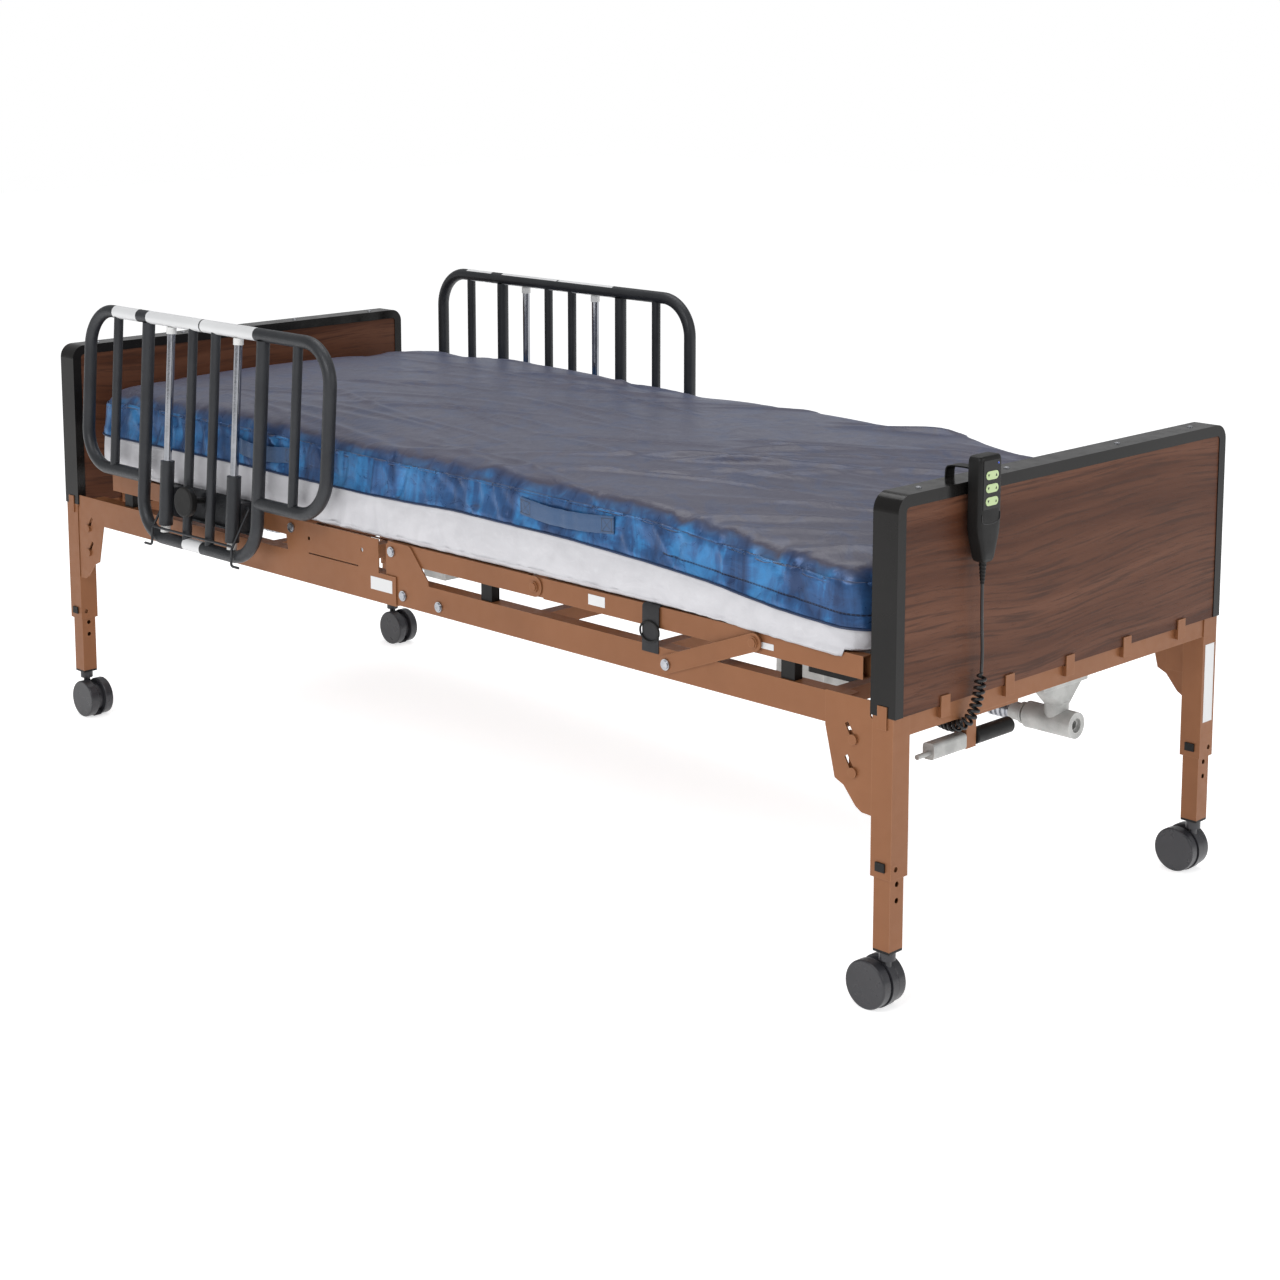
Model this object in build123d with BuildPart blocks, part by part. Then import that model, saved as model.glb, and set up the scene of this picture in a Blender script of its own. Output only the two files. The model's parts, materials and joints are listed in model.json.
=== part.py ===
from build123d import *
import os
from math import atan2, cos, degrees, pi, radians, sin

# A full-electric home-care bed: two bed ends on telescoping legs, a bolted frame, a four-part deck,
# a mattress, two half rails and a hand control.
# Millimetres. +X runs from the head end to the foot end, -Y is the near side, +Z is up and the floor is z = 0.
# "out" means away from the middle of the bed.

os.makedirs("parts", exist_ok=True)

# ---- driving dimensions -------------------------------------------------------------------------------------
ENDS = {"head": -1, "foot": 1}
SIDES = {"near": -1, "far": 1}

BED_LENGTH = 2272.0          # over the two bed ends
BED_WIDTH = 890.0
END_THICKNESS = 48.0
PANEL_BOTTOM, PANEL_TOP = 465.0, 804.0
PANEL_CORNER = 27.0
TRIM_WALL, TRIM_LIP, TRIM_LIP_WALL = 2.5, 19.0, 1.5
BOARD = 5.0

OUTER_LEG, INNER_LEG, LEG_WALL = 40.0, 32.0, 2.0
OUTER_LEG_BOTTOM, INNER_LEG_BOTTOM, INNER_LEG_TOP = 213.0, 97.0, 592.0
CROSSBAR_BOTTOM, CROSSBAR_TOP, CROSSBAR_DEPTH = 432.5, 464.5, 36.0
HOOK_PLACES = (-325, -162, 0, 162, 325)

WHEEL_RADIUS, WHEEL_WIDTH, WHEEL_GAP, CASTER_TRAIL = 39.0, 19.0, 16.0, 22.0
STEM_RADIUS = 5.5

SCREW_RADIUS, SHAFT_RADIUS = 8.0, 8.0
SHAFT_Z = 365.0

RAIL_BOTTOM, RAIL_TOP, RAIL_FLANGE, RAIL_WALL = 430.0, 485.0, 30.0, 2.5
FRAME_OUT = 443.0            # outer face of the head half's side rails
NEST = 3.0                   # the foot half's rails nest this far inside
FRAME_JOINT = (-150.0, -32.0)
CHANNEL_END, RAIL_END = 1038.0, 1086.0
RIVET_X, RIVET_Z = 1055.0, (418.0, 366.0)

DECK_BOTTOM, DECK_TOP = 512.0, 548.0
DECK_MIDDLE = (DECK_BOTTOM + DECK_TOP) / 2
DECK_OUT, DECK_TUBE, DECK_WALL = 437.0, 20.0, 1.5
BACK_PIVOT, THIGH_PIVOT, KNEE_PIVOT = -342.0, -46.0, 335.0
LINK_FOOT, LINK_HEAD = (658.0, 457.0), (849.0, 530.0)
DECK_HEAD_END, DECK_FOOT_END = -964.0, 1066.0
PIN_RADIUS, PIN_HOLE = 5.0, 5.05

BACK_LEVER = (-283.0, 437.0)
THIGH_LEVER = (-74.5, 424.0)
BACK_PUSH_Y, KNEE_PUSH_Y = 120.0, -120.0

MATTRESS_BOTTOM, MATTRESS_TOP, MATTRESS_FOOT_TOP = 548.5, 718.0, 700.0
MATTRESS_OUT = 444.0
MATTRESS_HEAD_END, MATTRESS_FOOT_END = -1026.0, 1064.0

HALF_RAIL_X = -580.0
HALF_RAIL_Z = 530.0          # height at which the half rail's plane is placed
HALF_RAIL_OUT = {-1: 489.0, 1: 484.0}
HALF_RAIL_LEAN = {-1: 4.0, 1: 0.0}
RAIL_TUBE, RAIL_TUBE_WALL, SPINDLE = 12.7, 1.5, 9.5
WING_HALF, UPRIGHT, POST = 399.0, 191.0, 112.0
TOP_BAR, WING_BAR, LOW_BAR = 898.0, 576.0, 462.0
POST_RADIUS, SLEEVE_RADIUS = 8.0, 14.0
BAIL_WIRE = 2.5

HANDSET = (28.0, 55.0, 166.0)
HANDSET_Y, HANDSET_BOTTOM = -262.0, 680.0
BUTTON_TOP, BUTTON_STEP = 816.0, 20.0
STRAIN_RELIEF = 34.0
CORD_RADIUS, CURL_RADIUS = 2.6, 10.0

END_OUT = BED_LENGTH / 2
END_MIDDLE = END_OUT - END_THICKNESS / 2
LEG_Y = BED_WIDTH / 2 - 0.5 - OUTER_LEG / 2


# ---- helpers --------------------------------------------------------------------------------------------------
def save(piece, label):
    """Name a finished piece and write it."""
    piece.part.label = label
    export_step(piece.part, f"parts/{label}.step")


def block(x, y, z, mode=Mode.ADD):
    """A box between two limits along each axis, in either order."""
    sizes = [abs(high - low) for low, high in (x, y, z)]
    with Locations(tuple((low + high) / 2 for low, high in (x, y, z))):
        Box(*sizes, mode=mode)


def rod(start, end, radius, bore=0.0, mode=Mode.ADD):
    """A round bar or tube between two points."""
    along = Vector(*end) - Vector(*start)
    with BuildSketch(Plane(origin=start, z_dir=along)) as section:
        Circle(radius)
        if bore:
            Circle(bore, mode=Mode.SUBTRACT)
    extrude(section.sketch, amount=along.length, mode=mode)


def box_tube(start, end, across, width, height, wall):
    """A rectangular tube; width is measured along the direction across."""
    along = Vector(*end) - Vector(*start)
    with BuildSketch(Plane(origin=start, x_dir=across, z_dir=along)) as section:
        Rectangle(width, height)
        Rectangle(width - 2 * wall, height - 2 * wall, mode=Mode.SUBTRACT)
    extrude(section.sketch, amount=along.length)


def plate(points, y, mode=Mode.ADD):
    """An upright plate between two Y limits, its outline given as (x, z) points."""
    low, high = min(y), max(y)
    with BuildSketch(Plane(origin=(0, low, 0), x_dir=(1, 0, 0), z_dir=(0, -1, 0))) as section:
        with BuildLine():
            Polyline([(x, z) for x, z in points], close=True)
        make_face()
    extrude(section.sketch, amount=-(high - low), mode=mode)


def bar_plate(start, end, radius, y):
    """A flat bar with round ends between two (x, z) points."""
    along = Vector(*end) - Vector(*start)
    middle = (Vector(*start) + Vector(*end)) / 2
    low, high = min(y), max(y)
    turn = degrees(atan2(along.Y, along.X))
    with BuildSketch(Plane(origin=(0, low, 0), x_dir=(1, 0, 0), z_dir=(0, -1, 0))) as section:
        with Locations(Location((middle.X, middle.Y), turn)):
            SlotCenterToCenter(along.length, 2 * radius)
    extrude(section.sketch, amount=-(high - low))


def bent_tube(points, bend, radius, bore=0.0):
    """A tube swept along straight runs with equal bends."""
    with BuildLine() as path:
        FilletPolyline(*points, radius=bend)
    with BuildSketch(Plane(origin=path.line @ 0, z_dir=path.line % 0)) as section:
        Circle(radius)
        if bore:
            Circle(bore, mode=Mode.SUBTRACT)
    sweep(section.sketch, path=path.line)


# ---- bed ends -------------------------------------------------------------------------------------------------
def end_outline(x, inset, radius):
    """The bed end's outline at x, drawn in at the sides and the top, with round top corners."""
    height = PANEL_TOP - inset - PANEL_BOTTOM
    with BuildSketch(Plane(origin=(x, 0, 0), x_dir=(0, 1, 0), z_dir=(1, 0, 0))) as outline:
        with Locations((0, PANEL_BOTTOM + height / 2)):
            Rectangle(BED_WIDTH - 2 * inset, height)
        fillet(outline.vertices().group_by(Axis.Y)[-1], radius)
    return outline.sketch


for end, e in ENDS.items():
    inner, outer = sorted((e * (END_OUT - END_THICKNESS), e * END_OUT))

    with BuildPart() as panel:
        board_inset = TRIM_WALL + 0.5
        for face_x in (inner + TRIM_LIP_WALL + 0.1, outer - TRIM_LIP_WALL - 0.1 - BOARD):
            extrude(end_outline(face_x, board_inset, PANEL_CORNER - board_inset), amount=BOARD)
    save(panel, f"{end}_panel")

    with BuildPart() as trim:
        extrude(end_outline(inner, 0, PANEL_CORNER), amount=END_THICKNESS)
        extrude(end_outline(inner + TRIM_LIP_WALL, TRIM_WALL, PANEL_CORNER - TRIM_WALL),
                amount=END_THICKNESS - 2 * TRIM_LIP_WALL, mode=Mode.SUBTRACT)
        extrude(end_outline(inner, TRIM_LIP, PANEL_CORNER - TRIM_LIP), amount=END_THICKNESS, mode=Mode.SUBTRACT)
    save(trim, f"{end}_panel_trim")

    with BuildPart() as crossbar:
        middle_z = (CROSSBAR_BOTTOM + CROSSBAR_TOP) / 2
        reach = LEG_Y - OUTER_LEG / 2
        box_tube((e * END_MIDDLE, -reach, middle_z), (e * END_MIDDLE, reach, middle_z), (1, 0, 0),
                 CROSSBAR_DEPTH, CROSSBAR_TOP - CROSSBAR_BOTTOM, LEG_WALL)
        for face in (-1, 1):
            tube_face = e * END_MIDDLE + face * CROSSBAR_DEPTH / 2
            panel_face = e * END_MIDDLE + face * (END_THICKNESS / 2 - 1)
            tip = panel_face + face * 2.5
            for y in HOOK_PLACES:
                block((tube_face, tip), (y - 11, y + 11), (446, 463))
                block((panel_face, tip), (y - 11, y + 11), (461, 480))
        rod((e * END_MIDDLE, 0, CROSSBAR_BOTTOM - 1), (e * END_MIDDLE, 0, CROSSBAR_TOP + 1), 10, mode=Mode.SUBTRACT)
    save(crossbar, f"{end}_crossbar")

    with BuildPart() as outer_legs:
        for s in SIDES.values():
            box_tube((e * END_MIDDLE, s * LEG_Y, OUTER_LEG_BOTTOM), (e * END_MIDDLE, s * LEG_Y, PANEL_BOTTOM),
                     (1, 0, 0), OUTER_LEG, OUTER_LEG, LEG_WALL)
            leg_out = LEG_Y + OUTER_LEG / 2
            block((e * 1103, e * 1121), (s * leg_out, s * (leg_out + 2.7)), (446, 463))
            block((e * 1103, e * 1121), (s * (leg_out + 0.7), s * (leg_out + 2.7)), (461, 482))
            block((e * 1040, e * 1093), (s * 432.5, s * 436), (352, 428))
            for face in (-1, 1):
                start = e * END_MIDDLE + face * (OUTER_LEG / 2 - LEG_WALL - 1)
                rod((start, s * (LEG_Y + 8), 229), (start + face * 4, s * (LEG_Y + 8), 229), 4.5, mode=Mode.SUBTRACT)
    save(outer_legs, f"{end}_outer_legs")

    with BuildPart() as inner_legs:
        nut_low, nut_high, yoke_z = 558, 598, 578
        for s in SIDES.values():
            foot = (e * END_MIDDLE, s * LEG_Y, INNER_LEG_BOTTOM)
            box_tube(foot, (e * END_MIDDLE, s * LEG_Y, INNER_LEG_TOP), (1, 0, 0), INNER_LEG, INNER_LEG, LEG_WALL)
            half = INNER_LEG / 2 - LEG_WALL
            block((e * END_MIDDLE - half, e * END_MIDDLE + half), (s * LEG_Y - half, s * LEG_Y + half), (97, 121))
            rod((e * END_MIDDLE, s * LEG_Y, 96), (e * END_MIDDLE, s * LEG_Y, 122), STEM_RADIUS + 0.08,
                mode=Mode.SUBTRACT)
            for hole_z in (203, 177):
                rod((e * END_MIDDLE - 20, s * LEG_Y, hole_z), (e * END_MIDDLE + 20, s * LEG_Y, hole_z), 4.5,
                    mode=Mode.SUBTRACT)
        yoke_reach = LEG_Y - INNER_LEG / 2
        box_tube((e * END_MIDDLE, -yoke_reach, yoke_z), (e * END_MIDDLE, yoke_reach, yoke_z), (1, 0, 0), 24, 24, 2)
        rod((e * END_MIDDLE, 0, nut_low), (e * END_MIDDLE, 0, nut_high), 14)
        rod((e * END_MIDDLE, 0, nut_low - 1), (e * END_MIDDLE, 0, nut_high + 1), SCREW_RADIUS + 0.3,
            mode=Mode.SUBTRACT)
    save(inner_legs, f"{end}_inner_legs")

    with BuildPart() as jack_screw:
        rod((e * END_MIDDLE, 0, 388), (e * END_MIDDLE, 0, 786), SCREW_RADIUS)
    save(jack_screw, f"{end}_jack_screw")

    with BuildPart() as gearbox:
        flange = (e * (END_MIDDLE - 18), e * (END_MIDDLE + 18))
        block(flange, (-60, 60), (427, CROSSBAR_BOTTOM))
        with BuildSketch(Plane(origin=(e * END_MIDDLE, 0, 427))) as wide_top:
            RectangleRounded(32, 104, 8)
        with BuildSketch(Plane(origin=(e * END_MIDDLE, 0, 396))) as neck_top:
            RectangleRounded(38, 40, 15)
        loft([neck_top.sketch, wide_top.sketch])
        rod((e * END_MIDDLE, 0, SHAFT_Z), (e * END_MIDDLE, 0, 400), 20)
        rod((e * 1058, 0, SHAFT_Z), (e * 1152, 0, SHAFT_Z), 22)
        rod((e * 1026, 0, SHAFT_Z), (e * 1060, 0, SHAFT_Z), 15)
        rod((e * 1046, 0, SHAFT_Z), (e * 1052, 0, SHAFT_Z), 18)
        rod((e * 1020, 0, SHAFT_Z), (e * 1068, 0, SHAFT_Z), SHAFT_RADIUS + 0.08, mode=Mode.SUBTRACT)
        rod((e * 1146, 0, SHAFT_Z), (e * 1153, 0, SHAFT_Z), 12, mode=Mode.SUBTRACT)
        rod((e * END_MIDDLE, 0, 386), (e * END_MIDDLE, 0, 434), SCREW_RADIUS + 0.08, mode=Mode.SUBTRACT)
        with BuildSketch(Plane(origin=(e * 1128, 0, SHAFT_Z), z_dir=(e, 0, 0))) as socket:
            RegularPolygon(8.5, 6)
        extrude(socket.sketch, amount=20, mode=Mode.SUBTRACT)
    save(gearbox, f"{end}_gearbox")


# ---- casters --------------------------------------------------------------------------------------------------
for end, e in ENDS.items():
    for side, s in SIDES.items():
        stem_x, y = e * END_MIDDLE, s * LEG_Y
        axle_x = stem_x - e * CASTER_TRAIL
        half_gap = WHEEL_GAP / 2

        with BuildPart() as fork:
            rod((axle_x, y - half_gap + 1, WHEEL_RADIUS), (axle_x, y + half_gap - 1, WHEEL_RADIUS), 29)
            with BuildSketch(Plane(origin=(axle_x, y + half_gap - 1, WHEEL_RADIUS), x_dir=(e, 0, 0),
                                   z_dir=(0, -e, 0))) as hood_side:
                Circle(41)
                with Locations(Location((0, 0), -30)):
                    with Locations((-41, 0)):
                        Rectangle(82, 90, mode=Mode.SUBTRACT)
            hood_depth = WHEEL_GAP - 2
            extrude(hood_side.sketch, amount=hood_depth if e > 0 else -hood_depth)
            rod((stem_x, y, 66), (stem_x, y, 79), 6.8)
            rod((stem_x, y, 79.5), (stem_x, y, 93), 13)
            rod((stem_x, y, 70), (stem_x, y, 80), 6.8)
            rod((stem_x, y, 90), (stem_x, y, 119), STEM_RADIUS)
            rod((axle_x, y - half_gap, WHEEL_RADIUS), (axle_x, y + half_gap, WHEEL_RADIUS), 4.08, mode=Mode.SUBTRACT)
        save(fork, f"caster_fork_{end}_{side}")

        with BuildPart() as wheels:
            for face in (-1, 1):
                near_face, far_face = y + face * half_gap, y + face * (half_gap + WHEEL_WIDTH)
                rod((axle_x, near_face, WHEEL_RADIUS), (axle_x, far_face, WHEEL_RADIUS), WHEEL_RADIUS)
            rims = wheels.edges().filter_by(GeomType.CIRCLE).filter_by(lambda edge: edge.radius > 38)
            fillet(rims, 3)
            rod((axle_x, y - half_gap - 2, WHEEL_RADIUS), (axle_x, y + half_gap + 2, WHEEL_RADIUS), 4)
        save(wheels, f"caster_wheels_{end}_{side}")


# ---- drive line -----------------------------------------------------------------------------------------------
with BuildPart() as drive_shaft:
    rod((-1066, 0, SHAFT_Z), (1066, 0, SHAFT_Z), SHAFT_RADIUS, 5.5)
    for e in ENDS.values():
        rod((e * 980, 0, SHAFT_Z), (e * 1024, 0, SHAFT_Z), 13)
        for groove in range(4):
            x = 984 + 10 * groove
            rod((e * x, 0, SHAFT_Z), (e * (x + 5), 0, SHAFT_Z), 16)
        rod((e * 976, 0, SHAFT_Z), (e * 1028, 0, SHAFT_Z), 5.5, mode=Mode.SUBTRACT)
save(drive_shaft, "drive_shaft")


# ---- main frame -----------------------------------------------------------------------------------------------
def channel(x, s, out, z):
    """A side rail of C section that opens towards the middle of the bed."""
    block(x, (s * (out - RAIL_WALL), s * out), z)
    for flange in ((z[0], z[0] + RAIL_WALL), (z[1] - RAIL_WALL, z[1])):
        block(x, (s * (out - RAIL_FLANGE), s * out), flange)


def corner_plate(e, s):
    """The plate that hangs from a rail's end and hooks on the leg's two rivets."""
    outline = [(998, RAIL_TOP), (998, RAIL_BOTTOM), (1018, 350), (1036, 342), (1060, 314), (1072, 307),
               (1091, 306), (1091, 456), (RAIL_END, 462), (RAIL_END, RAIL_TOP)]
    sheet = (s * (FRAME_OUT - NEST), s * FRAME_OUT)
    plate([(e * x, z) for x, z in outline], sheet)
    cut = (s * (FRAME_OUT - NEST - 1), s * (FRAME_OUT + 1))
    for rivet_z in RIVET_Z:
        slot = [(RIVET_X - 18, rivet_z + 22), (RIVET_X - 12, rivet_z + 26), (RIVET_X + 4, rivet_z + 2),
                (RIVET_X - 4, rivet_z - 2)]
        plate([(e * x, z) for x, z in slot], cut, mode=Mode.SUBTRACT)
        rod((e * RIVET_X, cut[0], rivet_z), (e * RIVET_X, cut[1], rivet_z), 5.2, mode=Mode.SUBTRACT)


def cross_tube(x, z, reach, size=25.0):
    """A square tube across the bed."""
    box_tube((x, -reach, z), (x, reach, z), (1, 0, 0), size, size, 1.5)


with BuildPart() as head_half:
    for s in SIDES.values():
        channel((-CHANNEL_END, FRAME_JOINT[1]), s, FRAME_OUT, (RAIL_BOTTOM, RAIL_TOP))
        block((-66, FRAME_JOINT[1] + 1), (s * (FRAME_OUT - RAIL_FLANGE - 1), s * (FRAME_OUT - RAIL_WALL)),
              (RAIL_TOP - RAIL_WALL - 1, RAIL_TOP + 1), mode=Mode.SUBTRACT)
        corner_plate(-1, s)
        sheet = (s * (FRAME_OUT - RAIL_WALL), s * FRAME_OUT)
        plate([(BACK_PIVOT - 12, RAIL_TOP - 5), (BACK_PIVOT - 19, 520), (BACK_PIVOT - 17, 541), (BACK_PIVOT, 548),
               (-81, 548), (-81, RAIL_TOP - 5)], sheet)
        block((-290, -140), (s * (FRAME_OUT - 4), s * (FRAME_OUT + 1)), (487, 490), mode=Mode.SUBTRACT)
        through = (s * (FRAME_OUT - 5), s * (FRAME_OUT + 2))
        for x, z, radius in ((BACK_PIVOT, DECK_MIDDLE, PIN_HOLE), (-289, 517, 4), (-129, 521, 4)):
            rod((x, through[0], z), (x, through[1], z), radius, mode=Mode.SUBTRACT)
    for x in (-985, -470):
        cross_tube(x, 461, FRAME_OUT - RAIL_WALL)
    block((-460, -420), (-144, -96), (467, 473))
    block((-426, -420.2), (-160, -80), (400, 473))
save(head_half, "frame_head_half")

with BuildPart() as foot_half:
    nested = (RAIL_BOTTOM + 2.8, RAIL_TOP - 2.8)
    foot_out = FRAME_OUT - NEST
    for s in SIDES.values():
        channel((FRAME_JOINT[0], CHANNEL_END), s, foot_out, nested)
        corner_plate(1, s)
        sheet = (s * (foot_out - RAIL_WALL), s * foot_out)
        plate([(-62, nested[0]), (-62, 541), (-54, 548), (0, 548), (8, 544), (56, 490), (58, nested[1]),
               (58, nested[0])], sheet)
        through = (s * (foot_out - 5), s * (foot_out + 2))
        for x, z in ((THIGH_PIVOT, DECK_MIDDLE), LINK_FOOT):
            rod((x, through[0], z), (x, through[1], z), PIN_HOLE, mode=Mode.SUBTRACT)
    for x in (310, 600, 985):
        cross_tube(x, 461, foot_out - RAIL_WALL)
    block((204.2, 300), (96, 144), (467, 473))
    block((204.2, 210), (80, 160), (400, 473))
save(foot_half, "frame_foot_half")


def bolt(x, z, s, shank, head, radius=PIN_RADIUS):
    """A round-headed bolt through a side rail; shank and head are limits out from the middle."""
    rod((x, s * shank[0], z), (x, s * shank[1], z), radius)
    rod((x, s * head[0], z), (x, s * (head[1] - 2), z), 9.5)
    rod((x, s * (head[1] - 2), z), (x, s * head[1], z), 7)


with BuildPart() as frame_bolts:
    for s in SIDES.values():
        bolt(BACK_PIVOT, DECK_MIDDLE, s, (428, 443.1), (443.1, 448))
        bolt(THIGH_PIVOT, DECK_MIDDLE, s, (428, 440.1), (440.1, 445))
        bolt(*LINK_FOOT, s, (430, 444.4), (444.4, 449))
        bolt(-14, 453, s, (440.1, 443.1), (440.1, 445))
        bolt(86, 450, s, (440.1, 441), (440.1, 445))
        for e in ENDS.values():
            for rivet_z in RIVET_Z:
                rod((e * RIVET_X, s * 436, rivet_z), (e * RIVET_X, s * 443.2, rivet_z), 4.5)
                rod((e * RIVET_X, s * 443.2, rivet_z), (e * RIVET_X, s * 447, rivet_z), 8)
save(frame_bolts, "frame_bolts")

with BuildPart() as plastic_stops:
    for s in SIDES.values():
        for x in (-908, 210, 915):
            top_of_rail = RAIL_TOP if x < 0 else RAIL_TOP - 2.8
            block((x - 14, x + 14), (s * 418, s * 436), (top_of_rail + 0.2, DECK_BOTTOM - 0.5))
    for e in ENDS.values():
        for s in SIDES.values():
            for face in (-1, 1):
                wall = s * LEG_Y + face * OUTER_LEG / 2
                block((e * END_MIDDLE - 9, e * END_MIDDLE + 9), (wall + face * 0.1, wall + face * 3), (224, 238))
save(plastic_stops, "plastic_stops")


# ---- deck -----------------------------------------------------------------------------------------------------
def deck_rails(x):
    """The two side tubes of a deck section."""
    for s in SIDES.values():
        y = s * (DECK_OUT - DECK_TUBE / 2)
        box_tube((x[0], y, DECK_MIDDLE), (x[1], y, DECK_MIDDLE), (0, 1, 0), DECK_TUBE, DECK_TOP - DECK_BOTTOM,
                 DECK_WALL)


def deck_wires(x, count=14):
    """The wires that the mattress lies on."""
    pitch = 810 / (count - 1)
    for place in range(count):
        y = -405 + place * pitch
        rod((x[0], y, 537.6), (x[1], y, 537.6), 1.7)


def pivot_holes(x, y):
    """A running hole through both side rails for a pivot bolt."""
    for s in SIDES.values():
        rod((x, s * y[0], DECK_MIDDLE), (x, s * y[1], DECK_MIDDLE), PIN_HOLE, mode=Mode.SUBTRACT)


DECK_IN = DECK_OUT - DECK_TUBE
CROSS_Z = DECK_BOTTOM + 12.5

with BuildPart() as back_frame:
    deck_rails((DECK_HEAD_END, BACK_PIVOT + 14))
    for x in (-951, -660, -375):
        cross_tube(x, CROSS_Z, DECK_IN)
    deck_wires((-960, -366))
    lever_x, lever_z = BACK_LEVER
    plate([(-388, 520), (-366, 513), (lever_x + 11, lever_z + 9), (lever_x + 11, lever_z - 11),
           (lever_x - 9, lever_z - 12)], (BACK_PUSH_Y - 14, BACK_PUSH_Y - 6))
    rod((lever_x, BACK_PUSH_Y - 10, lever_z), (lever_x, BACK_PUSH_Y + 8, lever_z), PIN_RADIUS)
    pivot_holes(BACK_PIVOT, (DECK_IN - 1, DECK_OUT + 1))
save(back_frame, "back_frame")

with BuildPart() as seat_deck:
    for x in (-300, -94):
        cross_tube(x, CROSS_Z, FRAME_OUT - RAIL_WALL)
    deck_wires((-310, -84))
save(seat_deck, "seat_deck")

with BuildPart() as thigh_frame:
    deck_rails((THIGH_PIVOT - 14, KNEE_PIVOT - 23))
    for s in SIDES.values():
        bar_plate((290, DECK_MIDDLE), (KNEE_PIVOT, DECK_MIDDLE), 18, (s * (DECK_OUT - 2.2), s * DECK_OUT))
    for x in (12, 285):
        cross_tube(x, CROSS_Z, DECK_IN)
    deck_wires((4, 294))
    lever_x, lever_z = THIGH_LEVER
    plate([(0, 514), (24, 514), (lever_x + 12, lever_z - 9), (lever_x - 8, lever_z - 12),
           (lever_x - 12, lever_z + 9)], (KNEE_PUSH_Y + 6, KNEE_PUSH_Y + 14))
    rod((lever_x, KNEE_PUSH_Y + 10, lever_z), (lever_x, KNEE_PUSH_Y - 8, lever_z), PIN_RADIUS)
    pivot_holes(THIGH_PIVOT, (DECK_IN - 1, DECK_OUT + 1))
    for s in SIDES.values():
        bolt(KNEE_PIVOT, DECK_MIDDLE, s, (429, DECK_OUT), (DECK_OUT - 0.5, DECK_OUT + 5))
save(thigh_frame, "thigh_frame")

with BuildPart() as foot_frame:
    deck_rails((KNEE_PIVOT + 23, DECK_FOOT_END))
    for s in SIDES.values():
        bar_plate((KNEE_PIVOT, DECK_MIDDLE), (KNEE_PIVOT + 60, DECK_MIDDLE), 17, (s * 431, s * (DECK_OUT - 2.7)))
    for x in (405, 720, 1050):
        cross_tube(x, CROSS_Z, DECK_IN)
    deck_wires((396, 1060))
    pivot_holes(KNEE_PIVOT, (428, DECK_OUT - 2))
save(foot_frame, "foot_frame")

with BuildPart() as link_arms:
    for s in SIDES.values():
        bar_plate(LINK_FOOT, LINK_HEAD, 15, (s * 440.8, s * 444))
        rod((LINK_FOOT[0], s * 440, LINK_FOOT[1]), (LINK_FOOT[0], s * 445, LINK_FOOT[1]), PIN_HOLE,
            mode=Mode.SUBTRACT)
        bolt(*LINK_HEAD, s, (438, 444), (443.5, 448.5))
save(link_arms, "link_arms")


# ---- drives under the deck --------------------------------------------------------------------------------------
def push_tube(x, y, z, slot_z, slot_height):
    """A push tube that ends in a plate with a tall slot for the lever's pin."""
    end_x, start_x = x
    toward = 1 if start_x > end_x else -1
    rod((end_x + toward * 24, y, z), (start_x, y, z), 10, 8)
    rod((end_x + toward * 20, y, z), (end_x + toward * 34, y, z), 10)
    block((end_x - toward * 18, end_x + toward * 26), (y - 2.5, y + 2.5), (slot_z - slot_height / 2 - 8,
                                                                           slot_z + slot_height / 2 + 8))
    block((end_x - 9, end_x + 9), (y - 4, y + 4), (slot_z - slot_height / 2, slot_z + slot_height / 2),
          mode=Mode.SUBTRACT)


with BuildPart() as back_push_tube:
    push_tube((BACK_LEVER[0], 170), BACK_PUSH_Y, 432, 428.5, 32)
save(back_push_tube, "back_push_tube")

with BuildPart() as knee_push_tube:
    push_tube((THIGH_LEVER[0], -330), KNEE_PUSH_Y, 424, 422, 24)
save(knee_push_tube, "knee_push_tube")


def deck_motor(x, y, z, toward):
    """A tubular motor with a square gear case; its bore holds the push tube."""
    case_end, case_start = x
    block((case_end, case_start), (y - 32, y + 32), (z - 30, z + 30))
    rod((case_start, y, z), (case_start + toward * 120, y, z), 29)
    rod((case_end - toward * 60, y, z), (case_end, y, z), 15)
    rod((case_end - toward * 61, y, z), (case_start + toward * 100, y, z), 10.08, mode=Mode.SUBTRACT)


with BuildPart() as motors:
    deck_motor((20, 84), BACK_PUSH_Y, 432, 1)
    deck_motor((-236, -300), KNEE_PUSH_Y, 424, -1)
    block((545, 655), (-48, 48), (330, 430))
    block((570, 630), (-30, 30), (430, 448.5))
    rod((600, 48, 385), (600, 205, 385), 34)
    rod((540, 0, SHAFT_Z), (660, 0, SHAFT_Z), SHAFT_RADIUS + 0.08, mode=Mode.SUBTRACT)
save(motors, "drive_motors")

with BuildPart() as control_box:
    block((800, 940), (-260, -150), (438, 478))
    fillet(control_box.edges().filter_by(Axis.Z), 8)
    block((930, 972.5), (-230, -180), (462, 472))
save(control_box, "control_box")


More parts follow.
